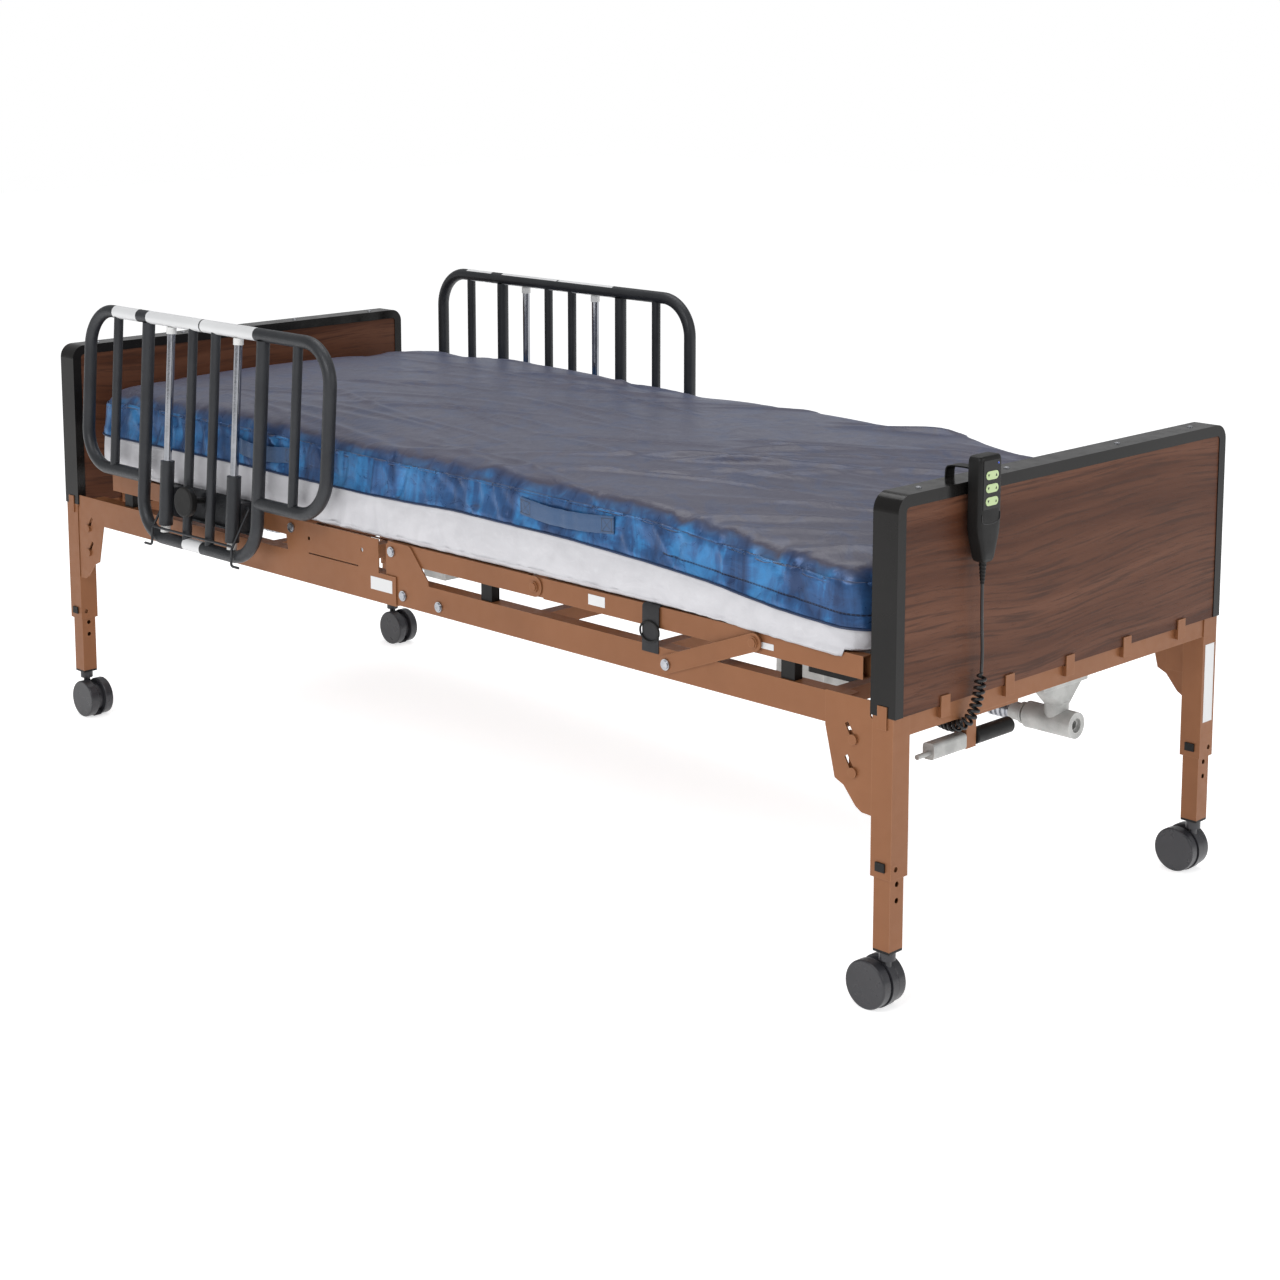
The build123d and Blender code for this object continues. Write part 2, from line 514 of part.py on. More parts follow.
# ---- mattress -------------------------------------------------------------------------------------------------
def mattress(x, label, round_end=None, top=MATTRESS_TOP, relief=None):
    """One section of the mattress; round_end is its rounded outer end, relief what is cut off under a hinge."""
    with BuildPart() as foam:
        block(x, (-MATTRESS_OUT, MATTRESS_OUT), (MATTRESS_BOTTOM, top))
        if round_end is not None:
            upright = foam.edges().filter_by(Axis.Z).group_by(Axis.X)[round_end]
            fillet(upright, 40)
        fillet(foam.edges().group_by(Axis.Z)[-1].filter_by(Axis.X), 20)
        if relief is not None:
            plate(relief, (-MATTRESS_OUT - 1, MATTRESS_OUT + 1), Mode.SUBTRACT)
    save(foam, label)


BACK_RELIEF = [(BACK_PIVOT - 13, MATTRESS_BOTTOM - 1), (BACK_PIVOT + 1, MATTRESS_BOTTOM - 1),
               (BACK_PIVOT + 1, MATTRESS_BOTTOM + 27)]
THIGH_RELIEF = [(THIGH_PIVOT + 6, MATTRESS_BOTTOM - 1), (THIGH_PIVOT - 1, MATTRESS_BOTTOM - 1),
                (THIGH_PIVOT - 1, MATTRESS_BOTTOM + 4)]
mattress((MATTRESS_HEAD_END, BACK_PIVOT - 0.4), "back_mattress", 0, relief=BACK_RELIEF)
mattress((BACK_PIVOT, THIGH_PIVOT), "seat_mattress")
mattress((THIGH_PIVOT + 0.4, KNEE_PIVOT), "thigh_mattress", relief=THIGH_RELIEF)
mattress((KNEE_PIVOT + 0.4, MATTRESS_FOOT_END), "foot_mattress", -1, MATTRESS_FOOT_TOP)


# ---- half rails -----------------------------------------------------------------------------------------------
def rail_point(s, x, height, out=0.0):
    """A point of an upright half rail: along the bed, up, and out from the rail's plane."""
    return (HALF_RAIL_X + x, s * (HALF_RAIL_OUT[s] + out), height)


def save_leaned(piece, label, s):
    """Lean a finished piece of a half rail about the line where it is clamped, and write it."""
    clamp_line = Axis((HALF_RAIL_X, s * HALF_RAIL_OUT[s], HALF_RAIL_Z), (1, 0, 0))
    leaned = piece.part.rotate(clamp_line, s * HALF_RAIL_LEAN[s])
    leaned.label = label
    export_step(leaned, f"parts/{label}.step")


def rail_rod(s, start, end, radius, bore=0.0, mode=Mode.ADD):
    """A round bar between two points of a half rail."""
    rod(rail_point(s, *start), rail_point(s, *end), radius, bore, mode)


def rail_block(s, x, height, out):
    """A box of a half rail: limits along the bed, up, and out from the rail's plane."""
    low, high = (s * (HALF_RAIL_OUT[s] + limit) for limit in out)
    block((HALF_RAIL_X + x[0], HALF_RAIL_X + x[1]), (low, high), height)


for side, s in SIDES.items():
    with BuildPart() as rail_frame:
        bore = RAIL_TUBE - RAIL_TUBE_WALL
        wings = [(-UPRIGHT, WING_BAR), (-WING_HALF, WING_BAR), (-WING_HALF, TOP_BAR), (WING_HALF, TOP_BAR),
                 (WING_HALF, WING_BAR), (UPRIGHT, WING_BAR)]
        bent_tube([rail_point(s, *point) for point in wings], 78, RAIL_TUBE, bore)
        well = [(-UPRIGHT, TOP_BAR - 11), (-UPRIGHT, LOW_BAR), (UPRIGHT, LOW_BAR), (UPRIGHT, TOP_BAR - 11)]
        bent_tube([rail_point(s, *point) for point in well], 74, RAIL_TUBE, bore)
        for x in (-299, 299):
            rail_rod(s, (x, WING_BAR + 8.5), (x, TOP_BAR - 8.5), SPINDLE, SPINDLE - 1.2)
        for x in (-38, 38):
            rail_rod(s, (x, LOW_BAR + 8.5), (x, TOP_BAR - 8.5), SPINDLE, SPINDLE - 1.2)
    save_leaned(rail_frame, f"half_rail_{side}", s)

    with BuildPart() as posts:
        for x in (-POST, POST):
            rail_rod(s, (x, LOW_BAR + 26.2), (x, TOP_BAR - 26.2), POST_RADIUS, POST_RADIUS - 1.2)
            for start, end in ((LOW_BAR + 12.9, LOW_BAR + 26), (TOP_BAR - 26, TOP_BAR - 12.9)):
                rail_rod(s, (x, start), (x, end), 10)
    save_leaned(posts, f"rail_posts_{side}", s)

    with BuildPart() as clamp:
        rail_block(s, (-138, 138), (504, 568), (-37, -33))
        rail_block(s, (-138, 138), (504, 508), (-37, -22))
        for x in (-POST, POST):
            rail_block(s, (x - 14, x + 14), (508, 566), (-34, -9))
            rail_rod(s, (x, 489), (x, 618), SLEEVE_RADIUS)
        for x in (-POST, POST):
            rail_rod(s, (x, 488), (x, 619), POST_RADIUS + 0.3, mode=Mode.SUBTRACT)
            rail_rod(s, (x - 16, 556, -22), (x + 16, 556, -22), BAIL_WIRE + 0.1, mode=Mode.SUBTRACT)
        rail_rod(s, (-10, 552, -33.5), (-10, 552, -20), 15)
        rail_rod(s, (-10, 552, -40), (-10, 552, -10), 6.08, mode=Mode.SUBTRACT)
        for x in (-96, 96):
            pad_out = (DECK_OUT + 2 - HALF_RAIL_OUT[s], -36)
            rail_block(s, (x - 20, x + 20), (514, 545), pad_out)
    save_leaned(clamp, f"rail_clamp_{side}", s)

    with BuildPart() as knob:
        rail_rod(s, (-10, 552, -32), (-10, 552, 14), 6)
        rail_rod(s, (-10, 552, 12.5), (-10, 552, 18), 12)
        rail_rod(s, (-10, 552, 17), (-10, 552, 33), 30)
        fillet(knob.edges().filter_by(GeomType.CIRCLE).filter_by(lambda edge: edge.radius > 29), 4)
    save_leaned(knob, f"rail_knob_{side}", s)

    with BuildPart() as bail:
        for x in (-1, 1):
            wire = [(x * 100, 556, -22), (x * 134, 556, -22), (x * 134, 480, 16.5), (x * 134, 447, 16.5),
                    (x * 158, 447, 16.5)]
            bent_tube([rail_point(s, *point) for point in wire], 6, BAIL_WIRE)
        rail_rod(s, (-134, 484, 14.5), (134, 484, 14.5), BAIL_WIRE)
    save_leaned(bail, f"rail_bail_{side}", s)


# ---- hand control -----------------------------------------------------------------------------------------------
handset_back = END_OUT + 3.5
with BuildPart() as handset:
    depth, width, height = HANDSET
    with BuildSketch(Plane(origin=(handset_back, HANDSET_Y, HANDSET_BOTTOM + height / 2), x_dir=(0, 1, 0),
                           z_dir=(1, 0, 0))) as outline:
        RectangleRounded(width, height, 20)
    extrude(outline.sketch, amount=depth)
    fillet(handset.edges().group_by(Axis.X)[-1], 5)
    hook_top = PANEL_TOP + 20
    hook_y = (HANDSET_Y - 11, HANDSET_Y + 11)
    block((END_OUT - END_THICKNESS - 3.2, handset_back + 4), hook_y, (hook_top - 2.8, hook_top))
    block((END_OUT - END_THICKNESS - 3.2, END_OUT - END_THICKNESS - 0.4), hook_y, (PANEL_TOP - 26, hook_top))
    for place in range(3):
        button_z = BUTTON_TOP - BUTTON_STEP * place
        with BuildSketch(Plane(origin=(handset_back + depth - 4, HANDSET_Y, button_z), x_dir=(0, 1, 0),
                               z_dir=(1, 0, 0))) as pocket:
            SlotOverall(32, 15)
        extrude(pocket.sketch, amount=6, mode=Mode.SUBTRACT)
    rod((handset_back + 14, HANDSET_Y, HANDSET_BOTTOM - STRAIN_RELIEF),
        (handset_back + 14, HANDSET_Y, HANDSET_BOTTOM + 2), 5)
save(handset, "handset")

for place, name in enumerate(("back", "knee", "height")):
    with BuildPart() as button:
        button_z = BUTTON_TOP - BUTTON_STEP * place
        with BuildSketch(Plane(origin=(handset_back + HANDSET[0] - 3.2, HANDSET_Y, button_z), x_dir=(0, 1, 0),
                               z_dir=(1, 0, 0))) as face:
            SlotOverall(30, 13)
        extrude(face.sketch, amount=4.4)
    save(button, f"button_{name}")


# ---- stored crank -------------------------------------------------------------------------------------------------
CRANK_X, CRANK_Z = 1122.0, 392.0
with BuildPart() as crank_holder:
    block((CRANK_X - 16, CRANK_X + 8), (-262, -238), (CRANK_Z - 13, CROSSBAR_BOTTOM))
    block((CRANK_X - 16, CRANK_X + 8), (-262, -130), (428, CROSSBAR_BOTTOM))
    rod((CRANK_X, -264, CRANK_Z), (CRANK_X, -236, CRANK_Z), 6.08, mode=Mode.SUBTRACT)
save(crank_holder, "crank_holder")

with BuildPart() as crank:
    block((CRANK_X - 12, CRANK_X + 10), (-345, -264), (CRANK_Z - 13, CRANK_Z + 13))
    fillet(crank.edges().filter_by(Axis.Y), 6)
    rod((CRANK_X, -374, CRANK_Z - 3), (CRANK_X, -345, CRANK_Z - 3), 4)
    rod((CRANK_X, -265, CRANK_Z), (CRANK_X, -140, CRANK_Z), 6)
save(crank, "crank")

with BuildPart() as crank_grip:
    rod((CRANK_X, -236, CRANK_Z), (CRANK_X, -142, CRANK_Z), 13, 6.08)
    fillet(crank_grip.edges().filter_by(GeomType.CIRCLE).filter_by(lambda edge: edge.radius > 12), 3)
save(crank_grip, "crank_grip")


# ---- hand control's cord --------------------------------------------------------------------------------------------
def cord(points, radius, label):
    """A cord's solid: straight runs joined by arcs as large as the runs allow."""
    route = [Vector(*point) for point in points]
    radii = []
    for before, corner, after in zip(route, route[1:], route[2:]):
        turn = (corner - before).get_angle(after - corner)
        shorter = min((corner - before).length, (after - corner).length)
        tangent = sin(radians(turn / 2)) / cos(radians(turn / 2))
        radii.append(0.45 * shorter / tangent)
    with BuildPart() as tube:
        with BuildLine() as path:
            FilletPolyline(*points, radius=radii)
        with BuildSketch(Plane(origin=path.line @ 0, z_dir=path.line % 0)):
            Circle(radius)
        sweep(path=path.line)
    length = sum(edge.length for edge in path.edges())
    print(label, "radii", [round(value) for value in radii], "length", round(length),
          "volume ratio", round(tube.part.volume / (length * pi * radius**2), 4))
    save(tube, label)


CORD_TOP = (handset_back + 14, HANDSET_Y, HANDSET_BOTTOM - STRAIN_RELIEF)
CURL_TOP = (1149.5, -254, 505)
CURL_END = (1066, -262, 416)
CORD_END = (940, -232, 452)

cord([CORD_TOP, (1153, -261, 605), (1151, -256, 562), (1150, -253, 530), CURL_TOP], CORD_RADIUS, "handset_cord")
cord([CURL_TOP, (1150, -258, 476), (1149, -266, 452), (1146, -276, 432), (1131, -283, 420), (1110, -280, 417),
      (1088, -271, 416), CURL_END], CURL_RADIUS, "handset_cord_curl")
cord([CURL_END, (1040, -255, 418), (1012, -246, 425), (985, -239, 434), (962, -233, 446), CORD_END],
     CORD_RADIUS, "handset_cord_tail")
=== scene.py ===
import json
import math

import bpy
import bmesh
import numpy as np
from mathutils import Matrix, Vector
from mathutils.bvhtree import BVHTree

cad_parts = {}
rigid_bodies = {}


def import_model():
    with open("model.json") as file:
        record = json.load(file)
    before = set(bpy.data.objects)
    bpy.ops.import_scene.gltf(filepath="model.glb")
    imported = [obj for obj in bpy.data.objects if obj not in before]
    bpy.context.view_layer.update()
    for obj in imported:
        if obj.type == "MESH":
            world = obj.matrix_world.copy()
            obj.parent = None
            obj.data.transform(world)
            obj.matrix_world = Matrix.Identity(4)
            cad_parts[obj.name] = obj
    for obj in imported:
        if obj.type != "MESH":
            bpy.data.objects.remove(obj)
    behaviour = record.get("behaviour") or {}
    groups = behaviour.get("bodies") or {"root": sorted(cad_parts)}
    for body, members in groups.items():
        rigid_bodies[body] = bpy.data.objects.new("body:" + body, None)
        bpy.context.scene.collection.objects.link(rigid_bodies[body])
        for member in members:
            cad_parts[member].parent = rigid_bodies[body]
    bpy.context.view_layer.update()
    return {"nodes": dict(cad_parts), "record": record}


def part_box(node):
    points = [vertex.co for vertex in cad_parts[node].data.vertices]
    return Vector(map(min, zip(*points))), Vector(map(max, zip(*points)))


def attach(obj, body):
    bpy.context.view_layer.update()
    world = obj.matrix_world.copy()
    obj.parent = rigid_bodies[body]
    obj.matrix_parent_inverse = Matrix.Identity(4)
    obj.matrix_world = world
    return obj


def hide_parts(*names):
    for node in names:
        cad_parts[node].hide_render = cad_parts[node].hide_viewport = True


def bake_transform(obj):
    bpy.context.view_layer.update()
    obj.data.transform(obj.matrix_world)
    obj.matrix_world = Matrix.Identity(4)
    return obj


# The looks of a full-electric home-care bed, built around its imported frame. Metres; +X to the foot end,
# -Y the near side, +Z up.

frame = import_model()
nodes = frame["nodes"]
scene = bpy.context.scene
for leftover in [o for o in bpy.data.objects if o.name in ("Cube", "Light", "Camera")]:
    bpy.data.objects.remove(leftover)

ENDS = {"head": -1, "foot": 1}
SIDES = {"near": -1, "far": 1}


# ---- camera, light and world ---------------------------------------------------------------------
LENS_PX, FRAME_PX, SENSOR = 2437.1, 1280.0, 36.0
CAMERA_AT = (3.3439, -3.1887, 1.5232)
CAMERA_YAW, CAMERA_DOWN, CAMERA_SHIFT = math.radians(135.007), math.radians(8.951), -0.2

camera = bpy.data.objects.new("camera", bpy.data.cameras.new("camera"))
scene.collection.objects.link(camera)
camera.location = CAMERA_AT
ahead = Vector((math.cos(CAMERA_YAW) * math.cos(CAMERA_DOWN), math.sin(CAMERA_YAW) * math.cos(CAMERA_DOWN),
                -math.sin(CAMERA_DOWN)))
camera.rotation_mode = "QUATERNION"
camera.rotation_quaternion = ahead.to_track_quat("-Z", "Y")
camera.data.sensor_width = SENSOR
camera.data.lens = LENS_PX / FRAME_PX * SENSOR
camera.data.shift_y = CAMERA_SHIFT
camera.data.clip_end = 60
scene.camera = camera
scene.view_settings.view_transform = "Standard"


def area_light(name, at, aim, size, power, colour=(1, 1, 1)):
    lamp = bpy.data.lights.new(name, "AREA")
    lamp.shape, lamp.size, lamp.size_y = "RECTANGLE", size[0], size[1]
    lamp.energy, lamp.color = power, colour
    light = bpy.data.objects.new(name, lamp)
    scene.collection.objects.link(light)
    light.location = at
    light.rotation_mode = "QUATERNION"
    light.rotation_quaternion = (Vector(aim) - Vector(at)).to_track_quat("-Z", "Y")
    return light


area_light("key", (1.2, -3.6, 3.4), (0, 0, 0.5), (2.6, 1.6), 74)
area_light("foot_fill", (4.6, 0.8, 2.2), (0.6, 0, 0.5), (2.2, 1.8), 34)
area_light("top", (-0.6, 0.9, 4.2), (-0.2, 0, 0.5), (3.6, 2.4), 62)

world = bpy.data.worlds.new("studio")
world.use_nodes = True
sky = world.node_tree.nodes
sky["Background"].inputs["Color"].default_value = (0.97, 0.975, 0.985, 1)
sky["Background"].inputs["Strength"].default_value = 0.46
seen = sky.new("ShaderNodeBackground")
seen.inputs["Color"].default_value = (1, 1, 1, 1)
blend_sky = sky.new("ShaderNodeMixShader")
for source, target in ((sky.new("ShaderNodeLightPath").outputs["Is Camera Ray"], blend_sky.inputs[0]),
                       (sky["Background"].outputs[0], blend_sky.inputs[1]), (seen.outputs[0], blend_sky.inputs[2]),
                       (blend_sky.outputs[0], sky["World Output"].inputs["Surface"])):
    world.node_tree.links.new(source, target)
scene.world = world


# ---- materials -----------------------------------------------------------------------------------
class Surface:
    """A procedural material. Textures use the piece's own coordinates, in metres."""

    def __init__(self, name, rough=0.5, metal=0.0, colour=(0.8, 0.8, 0.8), **sockets):
        self.material = bpy.data.materials.new(name)
        self.material.use_nodes = True
        self.tree = self.material.node_tree
        self.shader = self.tree.nodes["Principled BSDF"]
        self.shader.inputs["Base Color"].default_value = (*colour, 1)
        self.shader.inputs["Roughness"].default_value = rough
        self.shader.inputs["Metallic"].default_value = metal
        for label, value in sockets.items():
            self.shader.inputs[label.replace("_", " ")].default_value = value
        self.here = self.node("ShaderNodeTexCoord").outputs["Object"]
        self.normal = None

    def node(self, kind, **settings):
        made = self.tree.nodes.new(kind)
        for label, value in settings.items():
            setattr(made, label, value)
        return made

    def feed(self, socket, value):
        if isinstance(value, bpy.types.NodeSocket):
            self.tree.links.new(value, socket)
        else:
            socket.default_value = value

    def stretched(self, scale, turn=(0, 0, 0), at=None):
        mapping = self.node("ShaderNodeMapping")
        self.feed(mapping.inputs["Vector"], self.here if at is None else at)
        mapping.inputs["Scale"].default_value = scale
        mapping.inputs["Rotation"].default_value = turn
        return mapping.outputs["Vector"]

    def noise(self, scale, detail=3.0, rough=0.5, twist=0.0, at=None):
        made = self.node("ShaderNodeTexNoise")
        self.feed(made.inputs["Vector"], self.here if at is None else at)
        for label, value in (("Scale", scale), ("Detail", detail), ("Roughness", rough), ("Distortion", twist)):
            made.inputs[label].default_value = value
        return made.outputs["Fac"]

    def maths(self, operation, a, b=0.0, clamp=False):
        made = self.node("ShaderNodeMath", operation=operation, use_clamp=clamp)
        self.feed(made.inputs[0], a)
        self.feed(made.inputs[1], b)
        return made.outputs[0]

    def spread(self, value, low, high, to_low=0.0, to_high=1.0):
        made = self.node("ShaderNodeMapRange")
        for label, given in (("Value", value), ("From Min", low), ("From Max", high), ("To Min", to_low),
                             ("To Max", to_high)):
            self.feed(made.inputs[label], given)
        return made.outputs["Result"]

    def ramp(self, value, *stops):
        made = self.node("ShaderNodeValToRGB")
        self.feed(made.inputs["Fac"], value)
        while len(made.color_ramp.elements) < len(stops):
            made.color_ramp.elements.new(0.5)
        for element, (place, colour) in zip(made.color_ramp.elements, stops):
            element.position, element.color = place, (*colour, 1)
        return made.outputs["Color"]

    def mix(self, amount, a, b):
        made = self.node("ShaderNodeMix", data_type="RGBA")
        self.feed(made.inputs["Factor"], amount)
        for socket, value in ((made.inputs[6], a), (made.inputs[7], b)):
            self.feed(socket, (*value, 1) if isinstance(value, tuple) else value)
        return made.outputs[2]

    def axes(self, at=None):
        made = self.node("ShaderNodeSeparateXYZ")
        self.feed(made.inputs[0], self.here if at is None else at)
        return made.outputs

    def colour(self, value):
        self.feed(self.shader.inputs["Base Color"], value)

    def rough(self, value):
        self.feed(self.shader.inputs["Roughness"], value)

    def bump(self, height, distance, strength=1.0):
        made = self.node("ShaderNodeBump")
        self.feed(made.inputs["Height"], height)
        made.inputs["Distance"].default_value = distance
        made.inputs["Strength"].default_value = strength
        if self.normal is not None:
            self.feed(made.inputs["Normal"], self.normal)
        self.normal = made.outputs["Normal"]
        self.feed(self.shader.inputs["Normal"], self.normal)

    def outer_edge_share(self, width=0.0015):
        """1 on outer edges, 0 elsewhere."""
        bevel = self.node("ShaderNodeBevel", samples=4)
        bevel.inputs["Radius"].default_value = width
        flat = self.node("ShaderNodeNewGeometry").outputs["Normal"]
        dot = self.node("ShaderNodeVectorMath", operation="DOT_PRODUCT")
        self.feed(dot.inputs[0], bevel.outputs["Normal"])
        self.feed(dot.inputs[1], flat)
        return self.spread(dot.outputs["Value"], 0.995, 0.86)


def painted(name, light, dark, rough, grain=900.0, depth=0.00012, patch=6.0, metal=0.0, **sockets):
    """Powder coat, moulded plastic and other even finishes: cloudy colour, orange-peel relief, uneven gloss."""
    made = Surface(name, rough, metal, **sockets)
    made.colour(made.mix(made.spread(made.noise(patch, 4), 0.35, 0.68), light, dark))
    made.rough(made.spread(made.noise(patch * 9, 4), 0.3, 0.7, rough - 0.06, rough + 0.08))
    made.bump(made.noise(grain, 3), depth)
    return made


def build_walnut():
    """Long horizontal grain with shallow cathedral arches, dark pores and a satin overlay."""
    made = Surface("walnut laminate", 0.42, Specular_IOR_Level=0.14)
    drift = made.noise(1.0, 2, 0.5, 0.0, made.stretched((1, 1.1, 2.2)))
    x, y, z = made.axes()
    height = made.maths("ADD", z, made.maths("MULTIPLY", drift, 0.17))
    grain_at = made.node("ShaderNodeCombineXYZ")
    for socket, value in zip(grain_at.inputs, (x, made.maths("MULTIPLY", y, 0.035), height)):
        made.feed(socket, value)
    bands = made.noise(26.0, 3, 0.55, 0.0, grain_at.outputs[0])
    lines = made.noise(150.0, 3, 0.6, 0.0, grain_at.outputs[0])
    tone = made.ramp(bands, (0.34, (0.070, 0.024, 0.012)), (0.5, (0.106, 0.040, 0.021)),
                     (0.66, (0.138, 0.056, 0.031)))
    tone = made.mix(made.spread(lines, 0.5, 0.64, 0.0, 0.8), tone, (0.056, 0.023, 0.014))
    pores = made.noise(1.0, 3, 0.7, 0.0, made.stretched((60, 22, 640)))
    pore = made.spread(pores, 0.57, 0.68)
    made.colour(made.mix(made.maths("MULTIPLY", pore, 0.5), tone, (0.034, 0.016, 0.011)))
    made.rough(made.spread(pores, 0.3, 0.7, 0.33, 0.48))
    made.bump(made.maths("SUBTRACT", 1.0, pore), 0.0001)
    return made


def build_copper():
    made = Surface("copper powder coat", 0.42, 0.25, Specular_IOR_Level=0.3)
    cloud = made.spread(made.noise(5, 4), 0.35, 0.68)
    tone = made.mix(cloud, (0.262, 0.108, 0.046), (0.23, 0.094, 0.040))
    # lighter copper towards the outer edges
    tone = made.mix(made.maths("MULTIPLY", made.outer_edge_share(), 0.35), tone, (0.48, 0.26, 0.14))
    made.colour(tone)
    made.rough(made.spread(made.noise(60, 4), 0.3, 0.7, 0.33, 0.47))
    made.bump(made.noise(700, 3), 0.0001)
    return made


def build_hammertone():
    made = Surface("charcoal hammertone", 0.38, 0.35, Specular_IOR_Level=0.55)
    cloud = made.spread(made.noise(14, 3), 0.35, 0.68)
    made.colour(made.mix(cloud, (0.03, 0.032, 0.036), (0.021, 0.0225, 0.026)))
    made.rough(made.spread(made.noise(160, 3), 0.3, 0.7, 0.33, 0.5))
    made.bump(made.noise(330, 3, 0.6), 0.0006)
    return made


def build_steel(name, colour, rough, patch=60.0):
    made = Surface(name, rough, 1.0, colour)
    cloud = made.spread(made.noise(patch, 5), 0.35, 0.7)
    made.colour(made.mix(cloud, colour, tuple(c * 0.72 for c in colour)))
    made.rough(made.spread(made.noise(patch * 3, 4), 0.3, 0.7, max(rough - 0.08, 0.03), rough + 0.1))
    made.bump(made.noise(patch * 8, 3), 0.00006)
    return made


def build_casting():
    made = Surface("light grey casting", 0.5, 0.45)
    grain = made.noise(420, 4, 0.65)
    tone = made.mix(made.spread(made.noise(35, 5), 0.35, 0.7), (0.50, 0.50, 0.485), (0.36, 0.36, 0.35))
    tone = made.mix(made.spread(grain, 0.62, 0.74, 0.0, 0.4), tone, (0.2, 0.2, 0.2))
    # lighter grey towards the outer edges
    made.colour(made.mix(made.maths("MULTIPLY", made.outer_edge_share(0.002), 0.5), tone, (0.7, 0.7, 0.68)))
    made.rough(made.spread(grain, 0.3, 0.7, 0.42, 0.62))
    made.bump(grain, 0.0006)
    return made


def build_cover(name, light, dark, painted_glint, rough, fold_depth, **sockets):
    """Coated cover cloth: fine weave, soft mottling, and small crumples whose peaks get a painted highlight tint.
    """
    made = Surface(name, rough, **sockets)
    at = made.node("ShaderNodeAttribute", attribute_name="rest_place").outputs["Vector"]
    folds = made.noise(1.0, 5, 0.62, 1.1, made.stretched((9, 9, 16), at=at))
    crumple = made.noise(1.0, 4, 0.6, 2.0, made.stretched((26, 26, 34), at=at))
    tone = made.mix(made.spread(folds, 0.34, 0.66), light, dark)
    # painted highlight: a lighter tint on the crumple peaks
    tone = made.mix(made.spread(crumple, 0.58, 0.72, 0.0, 0.5), tone, painted_glint)
    weave_x = made.node("ShaderNodeTexWave", bands_direction="X")
    weave_y = made.node("ShaderNodeTexWave", bands_direction="Y")
    weave_z = made.node("ShaderNodeTexWave", bands_direction="Z")
    for wave in (weave_x, weave_y, weave_z):
        made.feed(wave.inputs["Vector"], at)
        wave.inputs["Scale"].default_value = 300
    weave = made.maths("ADD", made.maths("MULTIPLY", weave_x.outputs["Fac"], weave_y.outputs["Fac"]),
                       weave_z.outputs["Fac"])
    made.colour(tone)
    made.rough(made.spread(crumple, 0.3, 0.7, rough - 0.08, rough + 0.1))
    made.bump(folds, fold_depth)
    made.bump(crumple, fold_depth * 0.35)
    made.bump(weave, 0.00003)
    return made


def cover_shader():
    """The blue cover, one fabric: a slate top that is a painted grazing reflection, painted satin sheen streaks on
    the border walls, stitched where the border is closed at the foot.
    """
    made = Surface("blue cover", 0.36, Sheen_Weight=0.18, Sheen_Roughness=0.4, Sheen_Tint=(0.6, 0.7, 1.0, 1))
    at = made.node("ShaderNodeAttribute", attribute_name="rest_place").outputs["Vector"]
    top = made.node("ShaderNodeAttribute", attribute_name="sheen_top_share").outputs["Fac"]
    folds = made.noise(1.0, 5, 0.6, 1.0, made.stretched((8, 8, 13), at=at))
    crumple = made.noise(1.0, 4, 0.62, 2.2, made.stretched((22, 22, 30), at=at))
    drape = made.noise(1.0, 4, 0.55, 0.9, made.stretched((17, 17, 4.5), at=at))
    # painted reflection: the top gets a greyer slate tone for the bright surroundings seen at a grazing angle
    painted_top_reflection = made.mix(made.spread(folds, 0.25, 0.8), (0.066, 0.062, 0.092), (0.038, 0.037, 0.066))
    top = made.maths("ADD", made.spread(top, 0.15, 0.85), made.spread(drape, 0.3, 0.7, -0.35, 0.35), True)
    # painted sheen: the walls get saturated blue with bright azure streaks along the drape folds
    painted_satin_streaks = made.maths("ADD", made.maths("MULTIPLY", drape, 0.8), made.maths("MULTIPLY", crumple, 0.2))
    wall = made.ramp(painted_satin_streaks,
                     (0.36, (0.018, 0.045, 0.125)), (0.5, (0.030, 0.105, 0.27)), (0.62, (0.035, 0.26, 0.60)))
    tone = made.mix(top, wall, painted_top_reflection)
    x, y, z = made.axes(at)
    line = made.maths("SUBTRACT", z, made.maths("MULTIPLY_ADD", x, -0.0862))
    line.node.inputs[1].links[0].from_node.inputs[2].default_value = 0.6958
    near_line = made.spread(made.maths("ABSOLUTE", line), 0.0009, 0.0018, 1.0, 0.0)
    past = made.spread(x, 0.646, 0.648)
    stitch = made.maths("GREATER_THAN", made.maths("FRACT", made.maths("MULTIPLY", x, 170.0)), 0.35)
    seam = made.maths("MULTIPLY", made.maths("MULTIPLY", near_line, past), made.maths("SUBTRACT", 1.0, top))
    made.colour(made.mix(made.maths("MULTIPLY", seam, made.spread(stitch, 0, 1, 0.55, 0.95)), tone,
                         (0.004, 0.008, 0.028)))
    made.rough(made.mix(top, made.spread(crumple, 0.3, 0.7, 0.24, 0.42),
                        made.spread(crumple, 0.3, 0.7, 0.30, 0.42)))
    made.feed(made.shader.inputs["Metallic"], made.spread(top, 0, 1, 0.35, 0.0))
    made.bump(made.mix(top, drape, folds), 0.0032)
    made.bump(crumple, 0.0006)
    made.bump(made.maths("MULTIPLY", seam, -1.0), 0.0012)
    weave = made.node("ShaderNodeTexVoronoi")
    made.feed(weave.inputs["Vector"], at)
    weave.inputs["Scale"].default_value = 1500
    made.bump(weave.outputs["Distance"], 0.00004)
    return made


